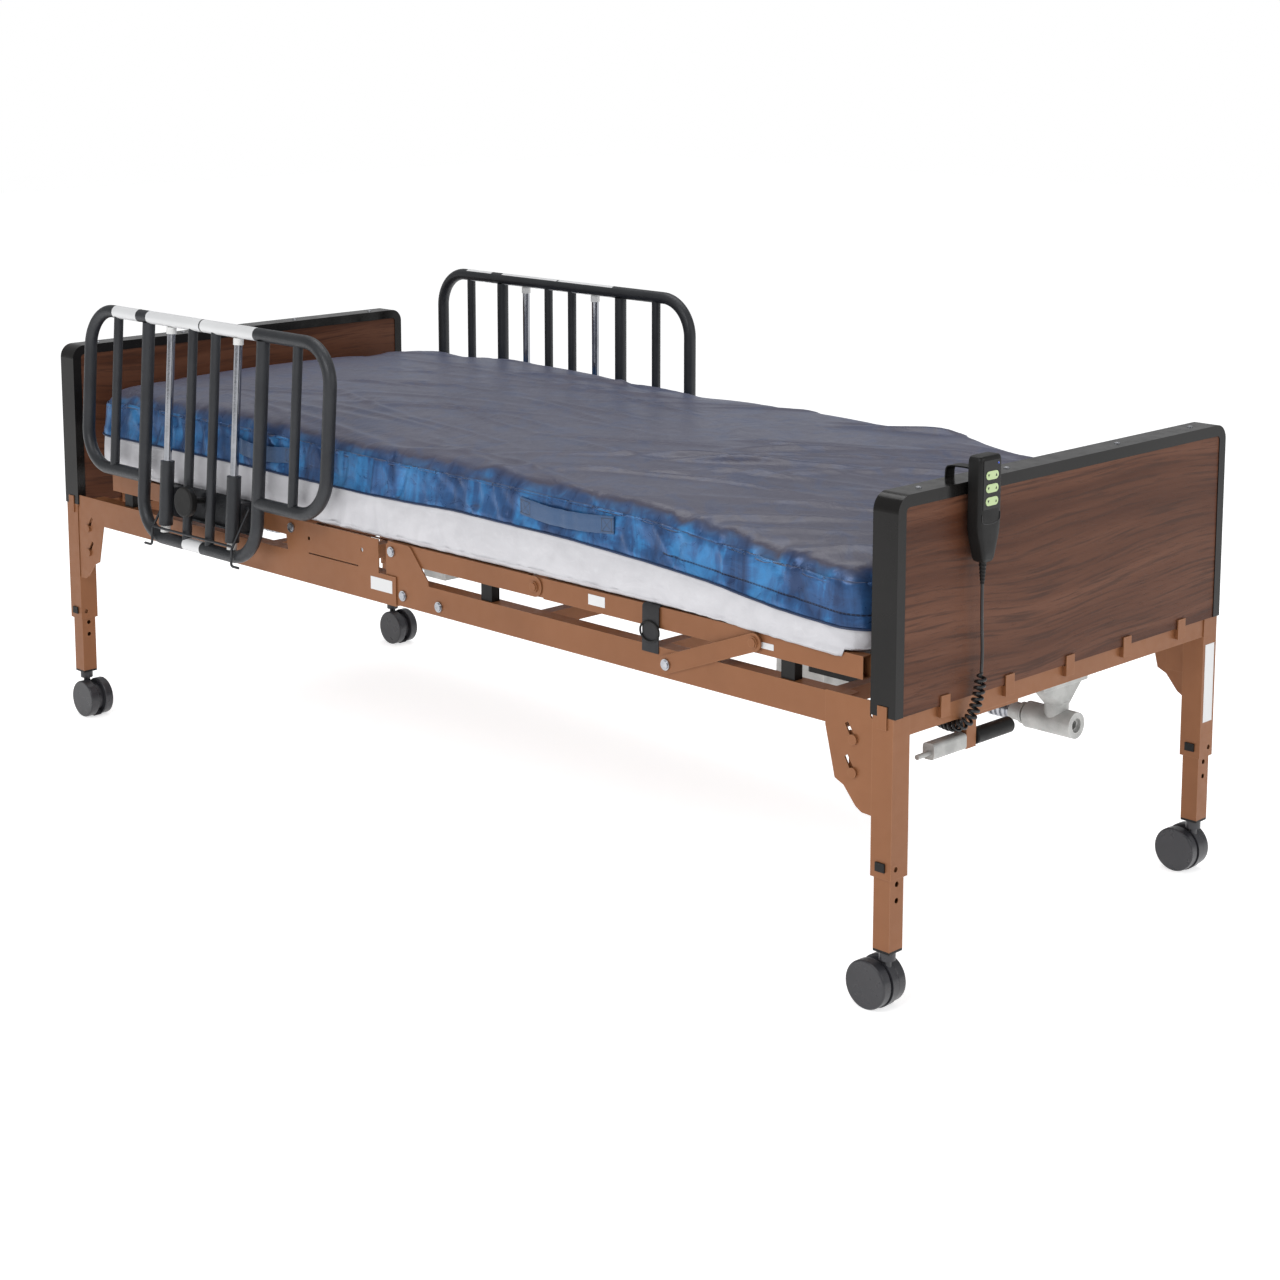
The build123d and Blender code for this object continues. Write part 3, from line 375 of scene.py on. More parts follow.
walnut = build_walnut()
copper = build_copper()
hammertone = build_hammertone()
zinc = build_steel("bright zinc", (0.46, 0.47, 0.50), 0.28)
chrome = build_steel("chrome", (0.40, 0.41, 0.44), 0.08, 20.0)
casting = build_casting()
trim_black = painted("black edge trim", (0.006, 0.0055, 0.005), (0.010, 0.009, 0.0085), 0.19, 240, 0.00003,
                     Specular_IOR_Level=0.22)
plastic_black = painted("moulded black plastic", (0.008, 0.008, 0.008), (0.013, 0.0125, 0.012), 0.42, 1100, 0.00012,
                        Specular_IOR_Level=0.2)
caster_black = painted("caster nylon", (0.024, 0.024, 0.028), (0.034, 0.034, 0.039), 0.3, 300, 0.00005)
cord_black = painted("cord jacket", (0.009, 0.009, 0.01), (0.014, 0.014, 0.015), 0.3, 900, 0.00005)
webbing = painted("black webbing", (0.011, 0.011, 0.012), (0.02, 0.02, 0.022), 0.7, 1400, 0.0003)
cap_white = painted("white nylon cap", (0.78, 0.78, 0.77), (0.7, 0.7, 0.69), 0.4, 700, 0.00008)
label_white = painted("blank label", (0.72, 0.725, 0.73), (0.66, 0.665, 0.67), 0.35, 300, 0.00004)
button_green = painted("green rocker", (0.55, 0.68, 0.36), (0.47, 0.6, 0.3), 0.34, 900, 0.00006)
cover = cover_shader()
white_cloth = build_cover("pale under cover", (0.60, 0.595, 0.62), (0.54, 0.535, 0.56), (0.64, 0.635, 0.66), 0.62,
                          0.0014)

handset_gloss = painted("handset face", (0.006,) * 3, (0.009,) * 3, 0.18, 900, 0.00003, Specular_IOR_Level=0.3)

FINISH = {"walnut_laminate": walnut, "black_trim": trim_black, "copper_paint": copper, "cast_grey": casting,
          "zinc_steel": zinc, "black_plastic": plastic_black, "caster_black": caster_black,
          "rail_paint": hammertone, "chrome": chrome, "blue_cover": cover, "handset_black": plastic_black,
          "button_green": button_green, "cord_black": cord_black}
for row in frame["record"]["subparts"]:
    node = nodes[row["node"]]
    node.data.materials.clear()
    node.data.materials.append(FINISH[row["material_slot"]].material)


# ---- helpers for pieces --------------------------------------------------------------------------
def place(obj, body, slot, surface=None):
    """Give a new piece its finish and its body."""
    if surface is not None:
        obj.data.materials.append(surface.material)
    if body is not None:
        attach(obj, body)
    return obj


def mesh_piece(name, vertices, faces, smooth=True):
    mesh = bpy.data.meshes.new(name)
    mesh.from_pydata([tuple(v) for v in vertices], [], faces)
    mesh.update()
    for polygon in mesh.polygons:
        polygon.use_smooth = smooth
    obj = bpy.data.objects.new(name, mesh)
    scene.collection.objects.link(obj)
    return obj


def bevelled(obj, width, segments=3):
    """Round a piece's sharp edges."""
    modifier = obj.modifiers.new("round", "BEVEL")
    modifier.width, modifier.segments, modifier.limit_method = width, segments, "ANGLE"
    modifier.harden_normals = True
    obj.data.polygons.foreach_set("use_smooth", [True] * len(obj.data.polygons))
    return obj


def tube_faces(rings, steps):
    """Quads between closed rings of steps points, and a face over each end."""
    faces = []
    for ring in range(rings - 1):
        for step in range(steps):
            after = (step + 1) % steps
            faces.append((ring * steps + step, ring * steps + after, (ring + 1) * steps + after,
                          (ring + 1) * steps + step))
    return faces + [tuple(reversed(range(steps))), tuple((rings - 1) * steps + step for step in range(steps))]


def revolved(name, profile, at, axis, steps=40):
    """A turned piece: profile is (radius, along) from the axis point at."""
    direction = Vector(axis).normalized()
    side = direction.orthogonal().normalized()
    other = direction.cross(side)
    vertices = []
    for radius, height in profile:
        for step in range(steps):
            angle = 2 * math.pi * step / steps
            outward = side * math.cos(angle) + other * math.sin(angle)
            vertices.append(Vector(at) + direction * height + outward * radius)
    obj = mesh_piece(name, vertices, tube_faces(len(profile), steps))
    soften(obj)
    return obj


def soften(obj, degrees=35):
    """Smooth shading that keeps edges sharper than the given angle."""
    edit = bmesh.new()
    edit.from_mesh(obj.data)
    bmesh.ops.recalc_face_normals(edit, faces=edit.faces)
    for edge in edit.edges:
        if len(edge.link_faces) == 2 and edge.calc_face_angle(0) > math.radians(degrees):
            edge.smooth = False
    edit.to_mesh(obj.data)
    edit.free()


def box_piece(name, low, high, round_by=0.0, segments=3):
    """A box between two corners with rounded edges."""
    low, high = Vector(low), Vector(high)
    corners = [(x, y, z) for x in (low.x, high.x) for y in (low.y, high.y) for z in (low.z, high.z)]
    faces = [(0, 1, 3, 2), (4, 6, 7, 5), (0, 4, 5, 1), (2, 3, 7, 6), (0, 2, 6, 4), (1, 5, 7, 3)]
    obj = mesh_piece(name, corners, faces, False)
    soften(obj)
    if round_by:
        bevelled(obj, round_by, segments)
    return obj


def joined(name, pieces):
    """Several mesh pieces as one object, their modifiers applied."""
    bpy.context.view_layer.update()
    graph = bpy.context.evaluated_depsgraph_get()
    edit = bmesh.new()
    for piece in pieces:
        made = bpy.data.meshes.new_from_object(piece.evaluated_get(graph))
        made.transform(piece.matrix_world)
        edit.from_mesh(made)
        bpy.data.objects.remove(piece)
    mesh = bpy.data.meshes.new(name)
    edit.to_mesh(mesh)
    edit.free()
    obj = bpy.data.objects.new(name, mesh)
    scene.collection.objects.link(obj)
    return obj


def wire(name, points, radius, order=3, cyclic=False, bevel_resolution=4):
    """A round wire along a smooth curve."""
    data = bpy.data.curves.new(name, "CURVE")
    data.dimensions, data.use_fill_caps = "3D", True
    data.bevel_depth, data.bevel_resolution = radius, bevel_resolution
    data.resolution_u = 10
    spline = data.splines.new("NURBS")
    spline.points.add(len(points) - 1)
    for point, place_at in zip(spline.points, points):
        point.co = (*place_at, 1)
    spline.order_u, spline.use_endpoint_u, spline.use_cyclic_u = order, not cyclic, cyclic
    obj = bpy.data.objects.new(name, data)
    scene.collection.objects.link(obj)
    return obj


# ---- hand control's cord -------------------------------------------------------------------------
CORD_DIAMETER = 0.0052
CURL_TURNS, STEPS_PER_TURN, COIL_RADIUS, CURL_LEAD_IN = 17, 14, 0.0073, 0.07
STRAIGHT = [(1.1535, -0.262, 0.646), (1.153, -0.261, 0.605), (1.151, -0.256, 0.562), (1.150, -0.253, 0.530),
            (1.1495, -0.254, 0.505)]
CURL = [(1.1495, -0.254, 0.505), (1.150, -0.258, 0.476), (1.149, -0.266, 0.452), (1.146, -0.276, 0.432),
        (1.131, -0.283, 0.420), (1.110, -0.280, 0.417), (1.088, -0.271, 0.416), (1.066, -0.262, 0.416)]
TAIL = [(1.066, -0.262, 0.416), (1.040, -0.255, 0.418), (1.012, -0.246, 0.425), (0.985, -0.239, 0.434),
        (0.962, -0.233, 0.446), (0.940, -0.232, 0.452)]


def read_route(points, resolution=24):
    """Points along a route's NURBS spline, with the length up to each."""
    guide = wire("guide", points, 0.0)
    guide.data.resolution_u = resolution
    bpy.context.view_layer.update()
    mesh = bpy.data.meshes.new_from_object(guide.evaluated_get(bpy.context.evaluated_depsgraph_get()))
    line = np.array([v.co for v in mesh.vertices], float)
    bpy.data.objects.remove(guide)
    travelled = np.concatenate([[0], np.cumsum(np.linalg.norm(np.diff(line, axis=0), axis=1))])
    return line, travelled


def helix(points, radius, turns, lead_in):
    """A curly cord's centreline round a route, starting and ending on the route itself."""
    line, travelled = read_route(points)
    steps = turns * STEPS_PER_TURN
    found, side = [], Vector((0, 1, 0))

    def at(share):
        reach = min(max(share, 0), 1) * travelled[-1]
        return Vector([np.interp(reach, travelled, line[:, k]) for k in range(3)])

    for step in range(steps + 1):
        share = step / steps
        here, tangent = at(share), (at(share + 0.01) - at(share - 0.01)).normalized()
        side = (side - tangent * side.dot(tangent)).normalized()
        swell = min(1.0, share / lead_in, (1 - share) / lead_in)
        swell = swell * swell * (3 - 2 * swell)
        angle = 2 * math.pi * turns * share
        found.append(here + (side * math.cos(angle) + tangent.cross(side) * math.sin(angle)) * radius * swell)
    return found


curl_points = helix(CURL, COIL_RADIUS, CURL_TURNS, CURL_LEAD_IN)
cord_points = [Vector(p) for p in STRAIGHT[:-1]] + curl_points + [Vector(p) for p in TAIL[1:]]
cord = wire("hand_control_cord", cord_points, CORD_DIAMETER / 2, bevel_resolution=5)
cord.data.resolution_u = 6
place(cord, "bed", "cord_black", cord_black)
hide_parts("handset_cord", "handset_cord_curl", "handset_cord_tail")
cord_length = read_route([tuple(p) for p in cord_points])[1][-1]


# ---- floor ---------------------------------------------------------------------------------------
floor_paint = painted("studio floor", (0.93, 0.93, 0.93), (0.92, 0.92, 0.92), 0.8, 60, 0.00002, 0.8,
                      Emission_Color=(1, 1, 1, 1), Emission_Strength=0.62)
FLOOR_HALF = 14
floor_corners = [(x * FLOOR_HALF, y * FLOOR_HALF, 0) for x, y in ((-1, -1), (1, -1), (1, 1), (-1, 1))]
floor = mesh_piece("studio_floor", floor_corners, [(0, 1, 2, 3)], False)
floor.data.materials.append(floor_paint.material)


# ---- mattress ------------------------------------------------------------------------------------
HEAD_X, FOOT_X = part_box("back_mattress")[0].x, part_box("foot_mattress")[1].x
HALF_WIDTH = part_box("seat_mattress")[1].y
BED_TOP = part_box("seat_mattress")[0].z
CUTS = (-0.194, 0.145)
CELL, ROWS, SEAM_ROW = 0.0122, 14, 7
SWELL_CAP, SIMULATED_FRAMES = 0.007, 20
TOP_LINE = ((-1.03, 0.713), (-0.9, 0.722), (-0.6, 0.724), (-0.27, 0.721), (-0.07, 0.716), (0.27, 0.713),
            (0.6, 0.708), (0.747, 0.695), (0.893, 0.686), (1.031, 0.680), (1.07, 0.674))
SEAM_LINE = ((-1.03, 0.628), (-0.5, 0.632), (-0.1, 0.628), (0.15, 0.635), (0.435, 0.630), (0.595, 0.622),
             (0.747, 0.612), (0.893, 0.594), (1.031, 0.584), (1.07, 0.581))
PIECES = {"back": (-9.0, CUTS[0], "back_section", "bed", -0.46, -0.22),
          "seat": (CUTS[0], CUTS[1], "bed", "thigh_section", -0.15, 0.06),
          "foot": (CUTS[1], 9.0, "thigh_section", "foot_section", 0.24, 0.43)}
draw = np.random.default_rng(7)


def along(line, x):
    return np.interp(x, [p[0] for p in line], [p[1] for p in line])


def mattress_grid():
    """The outer skin of the mattress as a fine box grid: points, quads and each point's row above the deck."""
    stops = [HEAD_X + 0.004, *CUTS, FOOT_X]
    stations = [stops[0]]
    for low, high in zip(stops, stops[1:]):
        count = round((high - low) / CELL)
        stations += [low + (high - low) * (k + 1) / count for k in range(count)]
    across = np.linspace(-HALF_WIDTH, HALF_WIDTH, round(2 * HALF_WIDTH / CELL) + 1)
    nx, ny = len(stations) - 1, len(across) - 1
    index, points, rows, faces = {}, [], [], []

    def at(i, j, k):
        if (i, j, k) not in index:
            index[(i, j, k)] = len(points)
            points.append((stations[i], across[j], k / ROWS))
            rows.append(k)
        return index[(i, j, k)]

    for i in range(nx):
        for j in range(ny):
            faces.append((at(i, j, 0), at(i, j + 1, 0), at(i + 1, j + 1, 0), at(i + 1, j, 0)))
            faces.append((at(i, j, ROWS), at(i + 1, j, ROWS), at(i + 1, j + 1, ROWS), at(i, j + 1, ROWS)))
    for k in range(ROWS):
        for i in range(nx):
            faces.append((at(i, 0, k), at(i + 1, 0, k), at(i + 1, 0, k + 1), at(i, 0, k + 1)))
            faces.append((at(i, ny, k), at(i, ny, k + 1), at(i + 1, ny, k + 1), at(i + 1, ny, k)))
        for j in range(ny):
            faces.append((at(0, j, k), at(0, j, k + 1), at(0, j + 1, k + 1), at(0, j + 1, k)))
            faces.append((at(nx, j, k), at(nx, j + 1, k), at(nx, j + 1, k + 1), at(nx, j, k + 1)))
    return np.array(points), faces, np.array(rows)


def rounded(points):
    """Round the box grid's edges, then lift its rows to the cover's seam and top lines."""
    tall = 0.16
    p = points.copy()
    p[:, 2] *= tall
    corner, edge = 0.055, np.where(points[:, 2] > 0.5, 0.034, 0.014)
    low = np.array([HEAD_X + 0.004, -HALF_WIDTH]) + corner
    high = np.array([FOOT_X, HALF_WIDTH]) - corner
    inner = np.clip(p[:, :2], low, high)
    off = p[:, :2] - inner
    size = np.linalg.norm(off, axis=1)
    scale = np.where(size > corner, corner / np.maximum(size, 1e-9), 1.0)
    p[:, :2] = inner + off * scale[:, None]
    out = np.minimum(size, corner) / corner
    depth = corner - np.minimum(size, corner)
    rim = np.clip(1 - depth / edge, 0, 1)
    near_top, near_low = p[:, 2] > tall - 1e-6, p[:, 2] < 1e-6
    drop = edge * (1 - np.sqrt(np.clip(1 - rim ** 2, 0, 1)))
    p[:, 2] = np.where(near_top, p[:, 2] - drop, np.where(near_low, p[:, 2] + drop, p[:, 2]))
    wall = ~near_top & ~near_low & (out > 0.99)
    reach = np.clip(1 - np.minimum(p[:, 2], tall - p[:, 2]) / edge, 0, 1)
    pull = edge * (1 - np.sqrt(np.clip(1 - reach ** 2, 0, 1))) * 0.6
    outward = np.where(size[:, None] > 1e-9, off / np.maximum(size, 1e-9)[:, None], 0)
    p[:, :2] -= outward * np.where(wall, pull, 0)[:, None]
    share = p[:, 2] / tall
    x, y = p[:, 0], p[:, 1]
    crown = 0.007 * np.clip(1 - (y / HALF_WIDTH) ** 2, 0, 1)
    seam, top = along(SEAM_LINE, x), along(TOP_LINE, x) + crown
    half = SEAM_ROW / ROWS
    p[:, 2] = np.where(share < half, BED_TOP + (seam - BED_TOP) * share / half,
                       seam + (top - seam) * (share - half) / (1 - half))
    return p


def fold(u, v, at, length, width, height, angle, bend=0.0):
    """A long soft fold of cloth on a plane (u, v)."""
    a, b = u - at[0], v - at[1]
    s, t = a * math.cos(angle) + b * math.sin(angle), b * math.cos(angle) - a * math.sin(angle)
    t = t - bend * s * s
    taper = np.clip(1 - (2 * s / length) ** 2, 0, 1) ** 1.5
    return height * taper * np.exp(-(t / width) ** 2)


def crease(points, normals):
    """How far out each point of the cover stands for its folds."""
    x, y, z = points.T
    rise = np.zeros(len(points))
    on_top = np.clip((normals[:, 2] - 0.35) / 0.4, 0, 1)
    folds = []
    for _ in range(34):
        folds.append(((draw.uniform(0.35, 1.05), draw.uniform(-0.42, 0.44)), draw.uniform(0.3, 0.75),
                      draw.uniform(0.008, 0.016), draw.uniform(0.0035, 0.0085), draw.uniform(0.25, 0.95),
                      draw.uniform(-0.7, 0.5)))
    for _ in range(46):
        folds.append(((draw.uniform(-0.95, 0.4), draw.uniform(-0.42, 0.44)), draw.uniform(0.22, 0.65),
                      draw.uniform(0.007, 0.013), draw.uniform(0.0020, 0.0055), draw.uniform(-0.35, 0.7),
                      draw.uniform(-0.5, 0.5)))
    for at, length, width, height, angle, bend in folds:
        beside = (at[0], at[1] + 2.1 * width)
        rise += on_top * (fold(x, y, at, length, width, height, angle, bend)
                          - fold(x, y, beside, length * 0.9, width * 1.3, height * 0.55, angle, bend))
    for s in (-1, 1):
        wall = np.clip((normals[:, 1] * s - 0.35) / 0.4, 0, 1) * (z > along(SEAM_LINE, x) + 0.002)
        for _ in range(105):
            at = (draw.uniform(-1.0, 1.05), draw.uniform(0.64, 0.71))
            rise += wall * fold(x, z, at, draw.uniform(0.05, 0.15), draw.uniform(0.004, 0.010),
                                draw.choice([-1, 1]) * draw.uniform(0.0015, 0.0055), draw.uniform(1.0, 2.5))
        lower = np.clip((normals[:, 1] * s - 0.35) / 0.4, 0, 1) * (z < along(SEAM_LINE, x) - 0.002)
        for _ in range(40):
            at = (draw.uniform(-1.0, 1.05), draw.uniform(0.56, 0.60))
            rise += lower * fold(x, z, at, draw.uniform(0.06, 0.16), draw.uniform(0.007, 0.014),
                                 draw.choice([-1, 1]) * draw.uniform(0.001, 0.003), draw.uniform(0.3, 2.8))
        end = np.clip((normals[:, 0] * s - 0.35) / 0.4, 0, 1)
        for _ in range(34):
            at = (draw.uniform(-0.42, 0.42), draw.uniform(0.58, 0.68))
            rise += end * fold(y, z, at, draw.uniform(0.05, 0.13), draw.uniform(0.005, 0.010),
                               draw.choice([-1, 1]) * draw.uniform(0.001, 0.004), draw.uniform(0.9, 2.4))
    return rise


def vertex_normals(mesh):
    found = np.zeros(len(mesh.vertices) * 3, np.float32)
    mesh.vertices.foreach_get("normal", found)
    return found.reshape(-1, 3).astype(float)


def mesh_points(mesh):
    found = np.zeros(len(mesh.vertices) * 3, np.float32)
    mesh.vertices.foreach_get("co", found)
    return found.reshape(-1, 3).astype(float)


def put_points(mesh, points):
    mesh.vertices.foreach_set("co", points.astype(np.float32).ravel())
    mesh.update()


def simulate(obj, rest, pinned):
    """Let the cover swell and buckle over the foam as cloth, within a cap."""
    group = obj.vertex_groups.new(name="held")
    for weight in np.unique(pinned):
        group.add([int(k) for k in np.nonzero(pinned == weight)[0]], float(weight), "REPLACE")
    cloth = obj.modifiers.new("cloth", "CLOTH")
    cloth.settings.quality = 4
    cloth.settings.mass = 0.2
    cloth.settings.tension_stiffness = cloth.settings.compression_stiffness = 20
    cloth.settings.bending_stiffness = 0.25
    cloth.settings.use_pressure = True
    cloth.settings.uniform_pressure_force = 4.0
    cloth.settings.shrink_min = -0.022
    cloth.settings.vertex_group_mass = "held"
    cloth.settings.pin_stiffness = 1.0
    cloth.settings.effector_weights.gravity = 0
    for step in range(1, SIMULATED_FRAMES + 1):
        scene.frame_set(step)
    graph = bpy.context.evaluated_depsgraph_get()
    settled = mesh_points(bpy.data.meshes.new_from_object(obj.evaluated_get(graph)))
    obj.modifiers.remove(cloth)
    obj.vertex_groups.clear()
    move = settled - rest
    size = np.linalg.norm(move, axis=1)
    move *= np.where(size > SWELL_CAP, SWELL_CAP / np.maximum(size, 1e-9), 1.0)[:, None]
    put_points(obj.data, rest + move)
    scene.frame_set(1)


grid, grid_faces, grid_rows = mattress_grid()
skin_points = rounded(grid)
skin = mesh_piece("mattress_skin", skin_points, grid_faces)
level = np.clip((skin_points[:, 2] - BED_TOP) / 0.03, 0, 1)
seam_gap = np.abs(skin_points[:, 2] - along(SEAM_LINE, skin_points[:, 0]))
hold = np.round(np.where(level < 1, 1 - level, np.where(seam_gap < 0.006, 0.8, 0.0)), 1)
simulate(skin, skin_points, hold)
for name in ("rest_x", "row"):
    skin.data.attributes.new(name, "FLOAT", "POINT")
skin.data.attributes["rest_x"].data.foreach_set("value", grid[:, 0].astype(np.float32))
skin.data.attributes["row"].data.foreach_set("value", grid_rows.astype(np.float32))
finer = skin.modifiers.new("finer", "SUBSURF")
finer.levels = finer.render_levels = 1
finer.boundary_smooth = "PRESERVE_CORNERS"
bpy.context.view_layer.update()
fine = bpy.data.meshes.new_from_object(skin.evaluated_get(bpy.context.evaluated_depsgraph_get()))
bpy.data.objects.remove(skin)

normals = vertex_normals(fine)
points = mesh_points(fine)
points += normals * crease(points, normals)[:, None]
row = np.zeros(len(points), np.float32)
fine.attributes["row"].data.foreach_get("value", row)
side = np.abs(normals[:, 2]) < 0.6
flap = np.clip((row - SEAM_ROW) / 1.0, 0, 1) * np.clip((SEAM_ROW + 4 - row) / 4.0, 0, 1)
points[:, :2] += normals[:, :2] * (np.where(side, 0.0035 * flap - 0.003 * (row < SEAM_ROW), 0))[:, None]
points[:, 2] = np.maximum(points[:, 2], BED_TOP)
droop = 0.012 * np.clip((points[:, 0] - 0.6) / 0.4, 0, 1)
hanging = (row < 1.2) & (np.abs(points[:, 1]) > 0.4385)
points[:, 2] -= np.where(hanging, droop * (1.2 - row) / 1.2, 0)
put_points(fine, points)
normals = vertex_normals(fine)
# how far each point faces up; it blends the cover's painted top reflection into its painted wall sheen
sheen_top_share = np.clip((normals[:, 2] - 0.30) / 0.55, 0, 1)
rest_x = np.zeros(len(points), np.float32)
fine.attributes["rest_x"].data.foreach_get("value", rest_x)


def mattress_piece(name, low, high):
    """The faces of the skin between two stations, with the whole skin's normals."""
    quads = [p.vertices[:] for p in fine.polygons]
    centre = np.array([rest_x[list(q)].mean() for q in quads])
    keep = [q for q, c in zip(quads, centre) if low < c < high]
    used = sorted({v for q in keep for v in q})
    renumber = {v: k for k, v in enumerate(used)}
    piece = mesh_piece(name, points[used], [tuple(renumber[v] for v in q) for q in keep])
    mesh = piece.data
    for label, kind, field, values in (("rest_place", "FLOAT_VECTOR", "vector", points[used]),
                                       ("sheen_top_share", "FLOAT", "value", sheen_top_share[used])):
        attribute = mesh.attributes.new(label, kind, "POINT")
        attribute.data.foreach_set(field, values.astype(np.float32).ravel())
    mesh.materials.append(cover.material)
    mesh.materials.append(white_cloth.material)
    lower = [1 if row[list(q)].mean() < SEAM_ROW else 0 for q in keep]
    mesh.polygons.foreach_set("material_index", lower)
    mesh.normals_split_custom_set_from_vertices([tuple(n) for n in normals[used]])
    return piece


REPLACED = {"back": ("back_mattress",), "seat": ("seat_mattress", "thigh_mattress"),
            "foot": ("foot_mattress",)}
for name, (low, high, before, after, start, end) in PIECES.items():
    piece = mattress_piece(f"mattress_{name}", low, high)
    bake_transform(piece)
    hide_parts(*REPLACED[name])


# ---- mattress handles and piping -----------------------------------------------------------------
cover_tree = BVHTree.FromPolygons([tuple(p) for p in points], [p.vertices[:] for p in fine.polygons])


def wall_y(x, z, s):
    """Where the cover's side wall is at a place along and up the mattress."""
    hit = cover_tree.ray_cast(Vector((x, s * 0.7, z)), Vector((0, -s, 0)))[0]
    return hit.y if hit else s * HALF_WIDTH


def blended(obj, name):
    """Bake the transform of a piece sewn to a mattress section into its mesh."""
    low, high, before, after, start, end = PIECES[name]
    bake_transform(obj)
    return obj


def webbing_shader():
    """Ribbed webbing, with box stitching at both ends; coordinates run along and across the strap."""
    made = Surface("handle webbing", 0.5, Sheen_Weight=0.2)
    place_at = made.node("ShaderNodeAttribute", attribute_name="rest_place").outputs["Vector"]
    u, v, length = made.axes(place_at)
    ribs = made.maths("SINE", made.maths("MULTIPLY", v, 3100.0))
    weft = made.maths("SINE", made.maths("MULTIPLY", u, 2600.0))
    weave = made.maths("MULTIPLY", ribs, weft)
    end = made.maths("MINIMUM", u, made.maths("SUBTRACT", length, u))
    across = made.maths("ABSOLUTE", v)
    inside = made.maths("MULTIPLY", made.spread(end, 0.0285, 0.029, 1, 0),
                        made.spread(across, 0.0115, 0.012, 1, 0))
    lines = [made.maths("SUBTRACT", end, 0.004), made.maths("SUBTRACT", end, 0.028),
             made.maths("SUBTRACT", across, 0.011),
             made.maths("SUBTRACT", made.maths("MULTIPLY", across, 1.09),
                        made.maths("ABSOLUTE", made.maths("SUBTRACT", end, 0.016)))]
    thread = 0.0
    for line in lines:
        thread = made.maths("MAXIMUM", thread, made.spread(made.maths("ABSOLUTE", line), 0.0004, 0.0008, 1, 0))
    thread = made.maths("MULTIPLY", thread, inside)
    tone = made.mix(made.spread(weave, -1, 1), (0.020, 0.060, 0.145), (0.034, 0.098, 0.225))
    made.colour(made.mix(made.maths("MULTIPLY", thread, 0.85), tone, (0.007, 0.014, 0.04)))
    made.bump(weave, 0.00018)
    made.bump(thread, 0.0005)
    return made


handle_webbing = webbing_shader()


STRAP_PROFILE = ((-0.5, 0.0), (-0.5, 0.7), (-0.46, 1.0), (-0.2, 1.0), (0.2, 1.0), (0.46, 1.0), (0.5, 0.7),
                 (0.5, 0.0))


def strap(name, centres, outs, width_dirs, width, thickness=0.0016):
    """A flat strap along centre points, with its own flat coordinates; outs face away from what it lies on."""
    travelled = np.concatenate([[0], np.cumsum([(b - a).length for a, b in zip(centres, centres[1:])])])
    vertices, flat = [], []
    for centre, out, side, u in zip(centres, outs, width_dirs, travelled):
        for v, lift in STRAP_PROFILE:
            vertices.append(centre + side * (v * width) + out * (lift * thickness))
            flat.append((u, v * width, travelled[-1]))
    obj = mesh_piece(name, vertices, tube_faces(len(centres), len(STRAP_PROFILE)))
    attribute = obj.data.attributes.new("rest_place", "FLOAT_VECTOR", "POINT")
    attribute.data.foreach_set("vector", np.array(flat, np.float32).ravel())
    soften(obj, 50)
    return obj


for side, s in SIDES.items():
    for section, (x0, x1, middle_z) in {"back": (-0.53, -0.33, 0.670), "foot": (0.303, 0.534, 0.668)}.items():
        centres, outs, widths = [], [], []
        for share in np.linspace(0, 1, 33):
            x = x0 + (x1 - x0) * share
            stand = 0.0045 * math.sin(math.pi * min(max((share - 0.15) / 0.7, 0), 1)) ** 0.8
            z = middle_z - 0.006 * math.sin(math.pi * share)
            y = max((wall_y(x, z + dz, s) * s for dz in (-0.012, 0, 0.012))) + 0.0006
            centres.append(Vector((x, s * (y + stand), z)))
            outs.append(Vector((0, s, 0)))
            widths.append(Vector((0, 0, 1)))
        handle = strap(f"mattress_handle_{section}_{side}", centres, outs, widths, 0.030, 0.002)
        place(handle, None, "blue_cover", handle_webbing)
        blended(handle, section)

piping = painted("cover piping", (0.012, 0.03, 0.085), (0.009, 0.022, 0.062), 0.4, 2400, 0.0001)
seam_index = np.nonzero((np.abs(row - SEAM_ROW) < 0.02) & (np.abs(normals[:, 2]) < 0.9))[0]
seam_points = points[seam_index] + normals[seam_index] * 0.001
runs = {"back": [(seam_points[:, 0] < CUTS[0] + 0.002, -1)], "foot": [(seam_points[:, 0] > CUTS[1] - 0.002, 1)],
        "seat": [((seam_points[:, 0] > CUTS[0] - 0.002) & (seam_points[:, 0] < CUTS[1] + 0.002)
                  & (seam_points[:, 1] * s > 0), 0) for s in (-1, 1)]}
for section, parts in runs.items():
    for number, (chosen, way) in enumerate(parts):
        found = seam_points[chosen]
        order = np.argsort(found[:, 0] if way == 0 else np.arctan2(found[:, 1], way * found[:, 0]))
        line = found[order][::2] if len(found) > 8 else found[order]
        tube = wire("piping", [tuple(p) for p in line], 0.0021, bevel_resolution=2)
        tube.data.resolution_u = 3
        cordlike = joined(f"cover_piping_{section}_{number}", [tube])
        place(cordlike, None, "blue_cover", piping)
        blended(cordlike, section)


# ---- screws, plugs, labels and straps ------------------------------------------------------------
def screw_head(name, at, out, radius=0.0048):
    """A pan head screw with a shallow dimple for its recess."""
    return revolved(name, [(radius, -0.0006), (radius, 0.0007), (radius * 0.86, 0.0016), (radius * 0.42, 0.0021),
                           (radius * 0.36, 0.0012), (radius * 0.1, 0.0009)], at, out, 28)


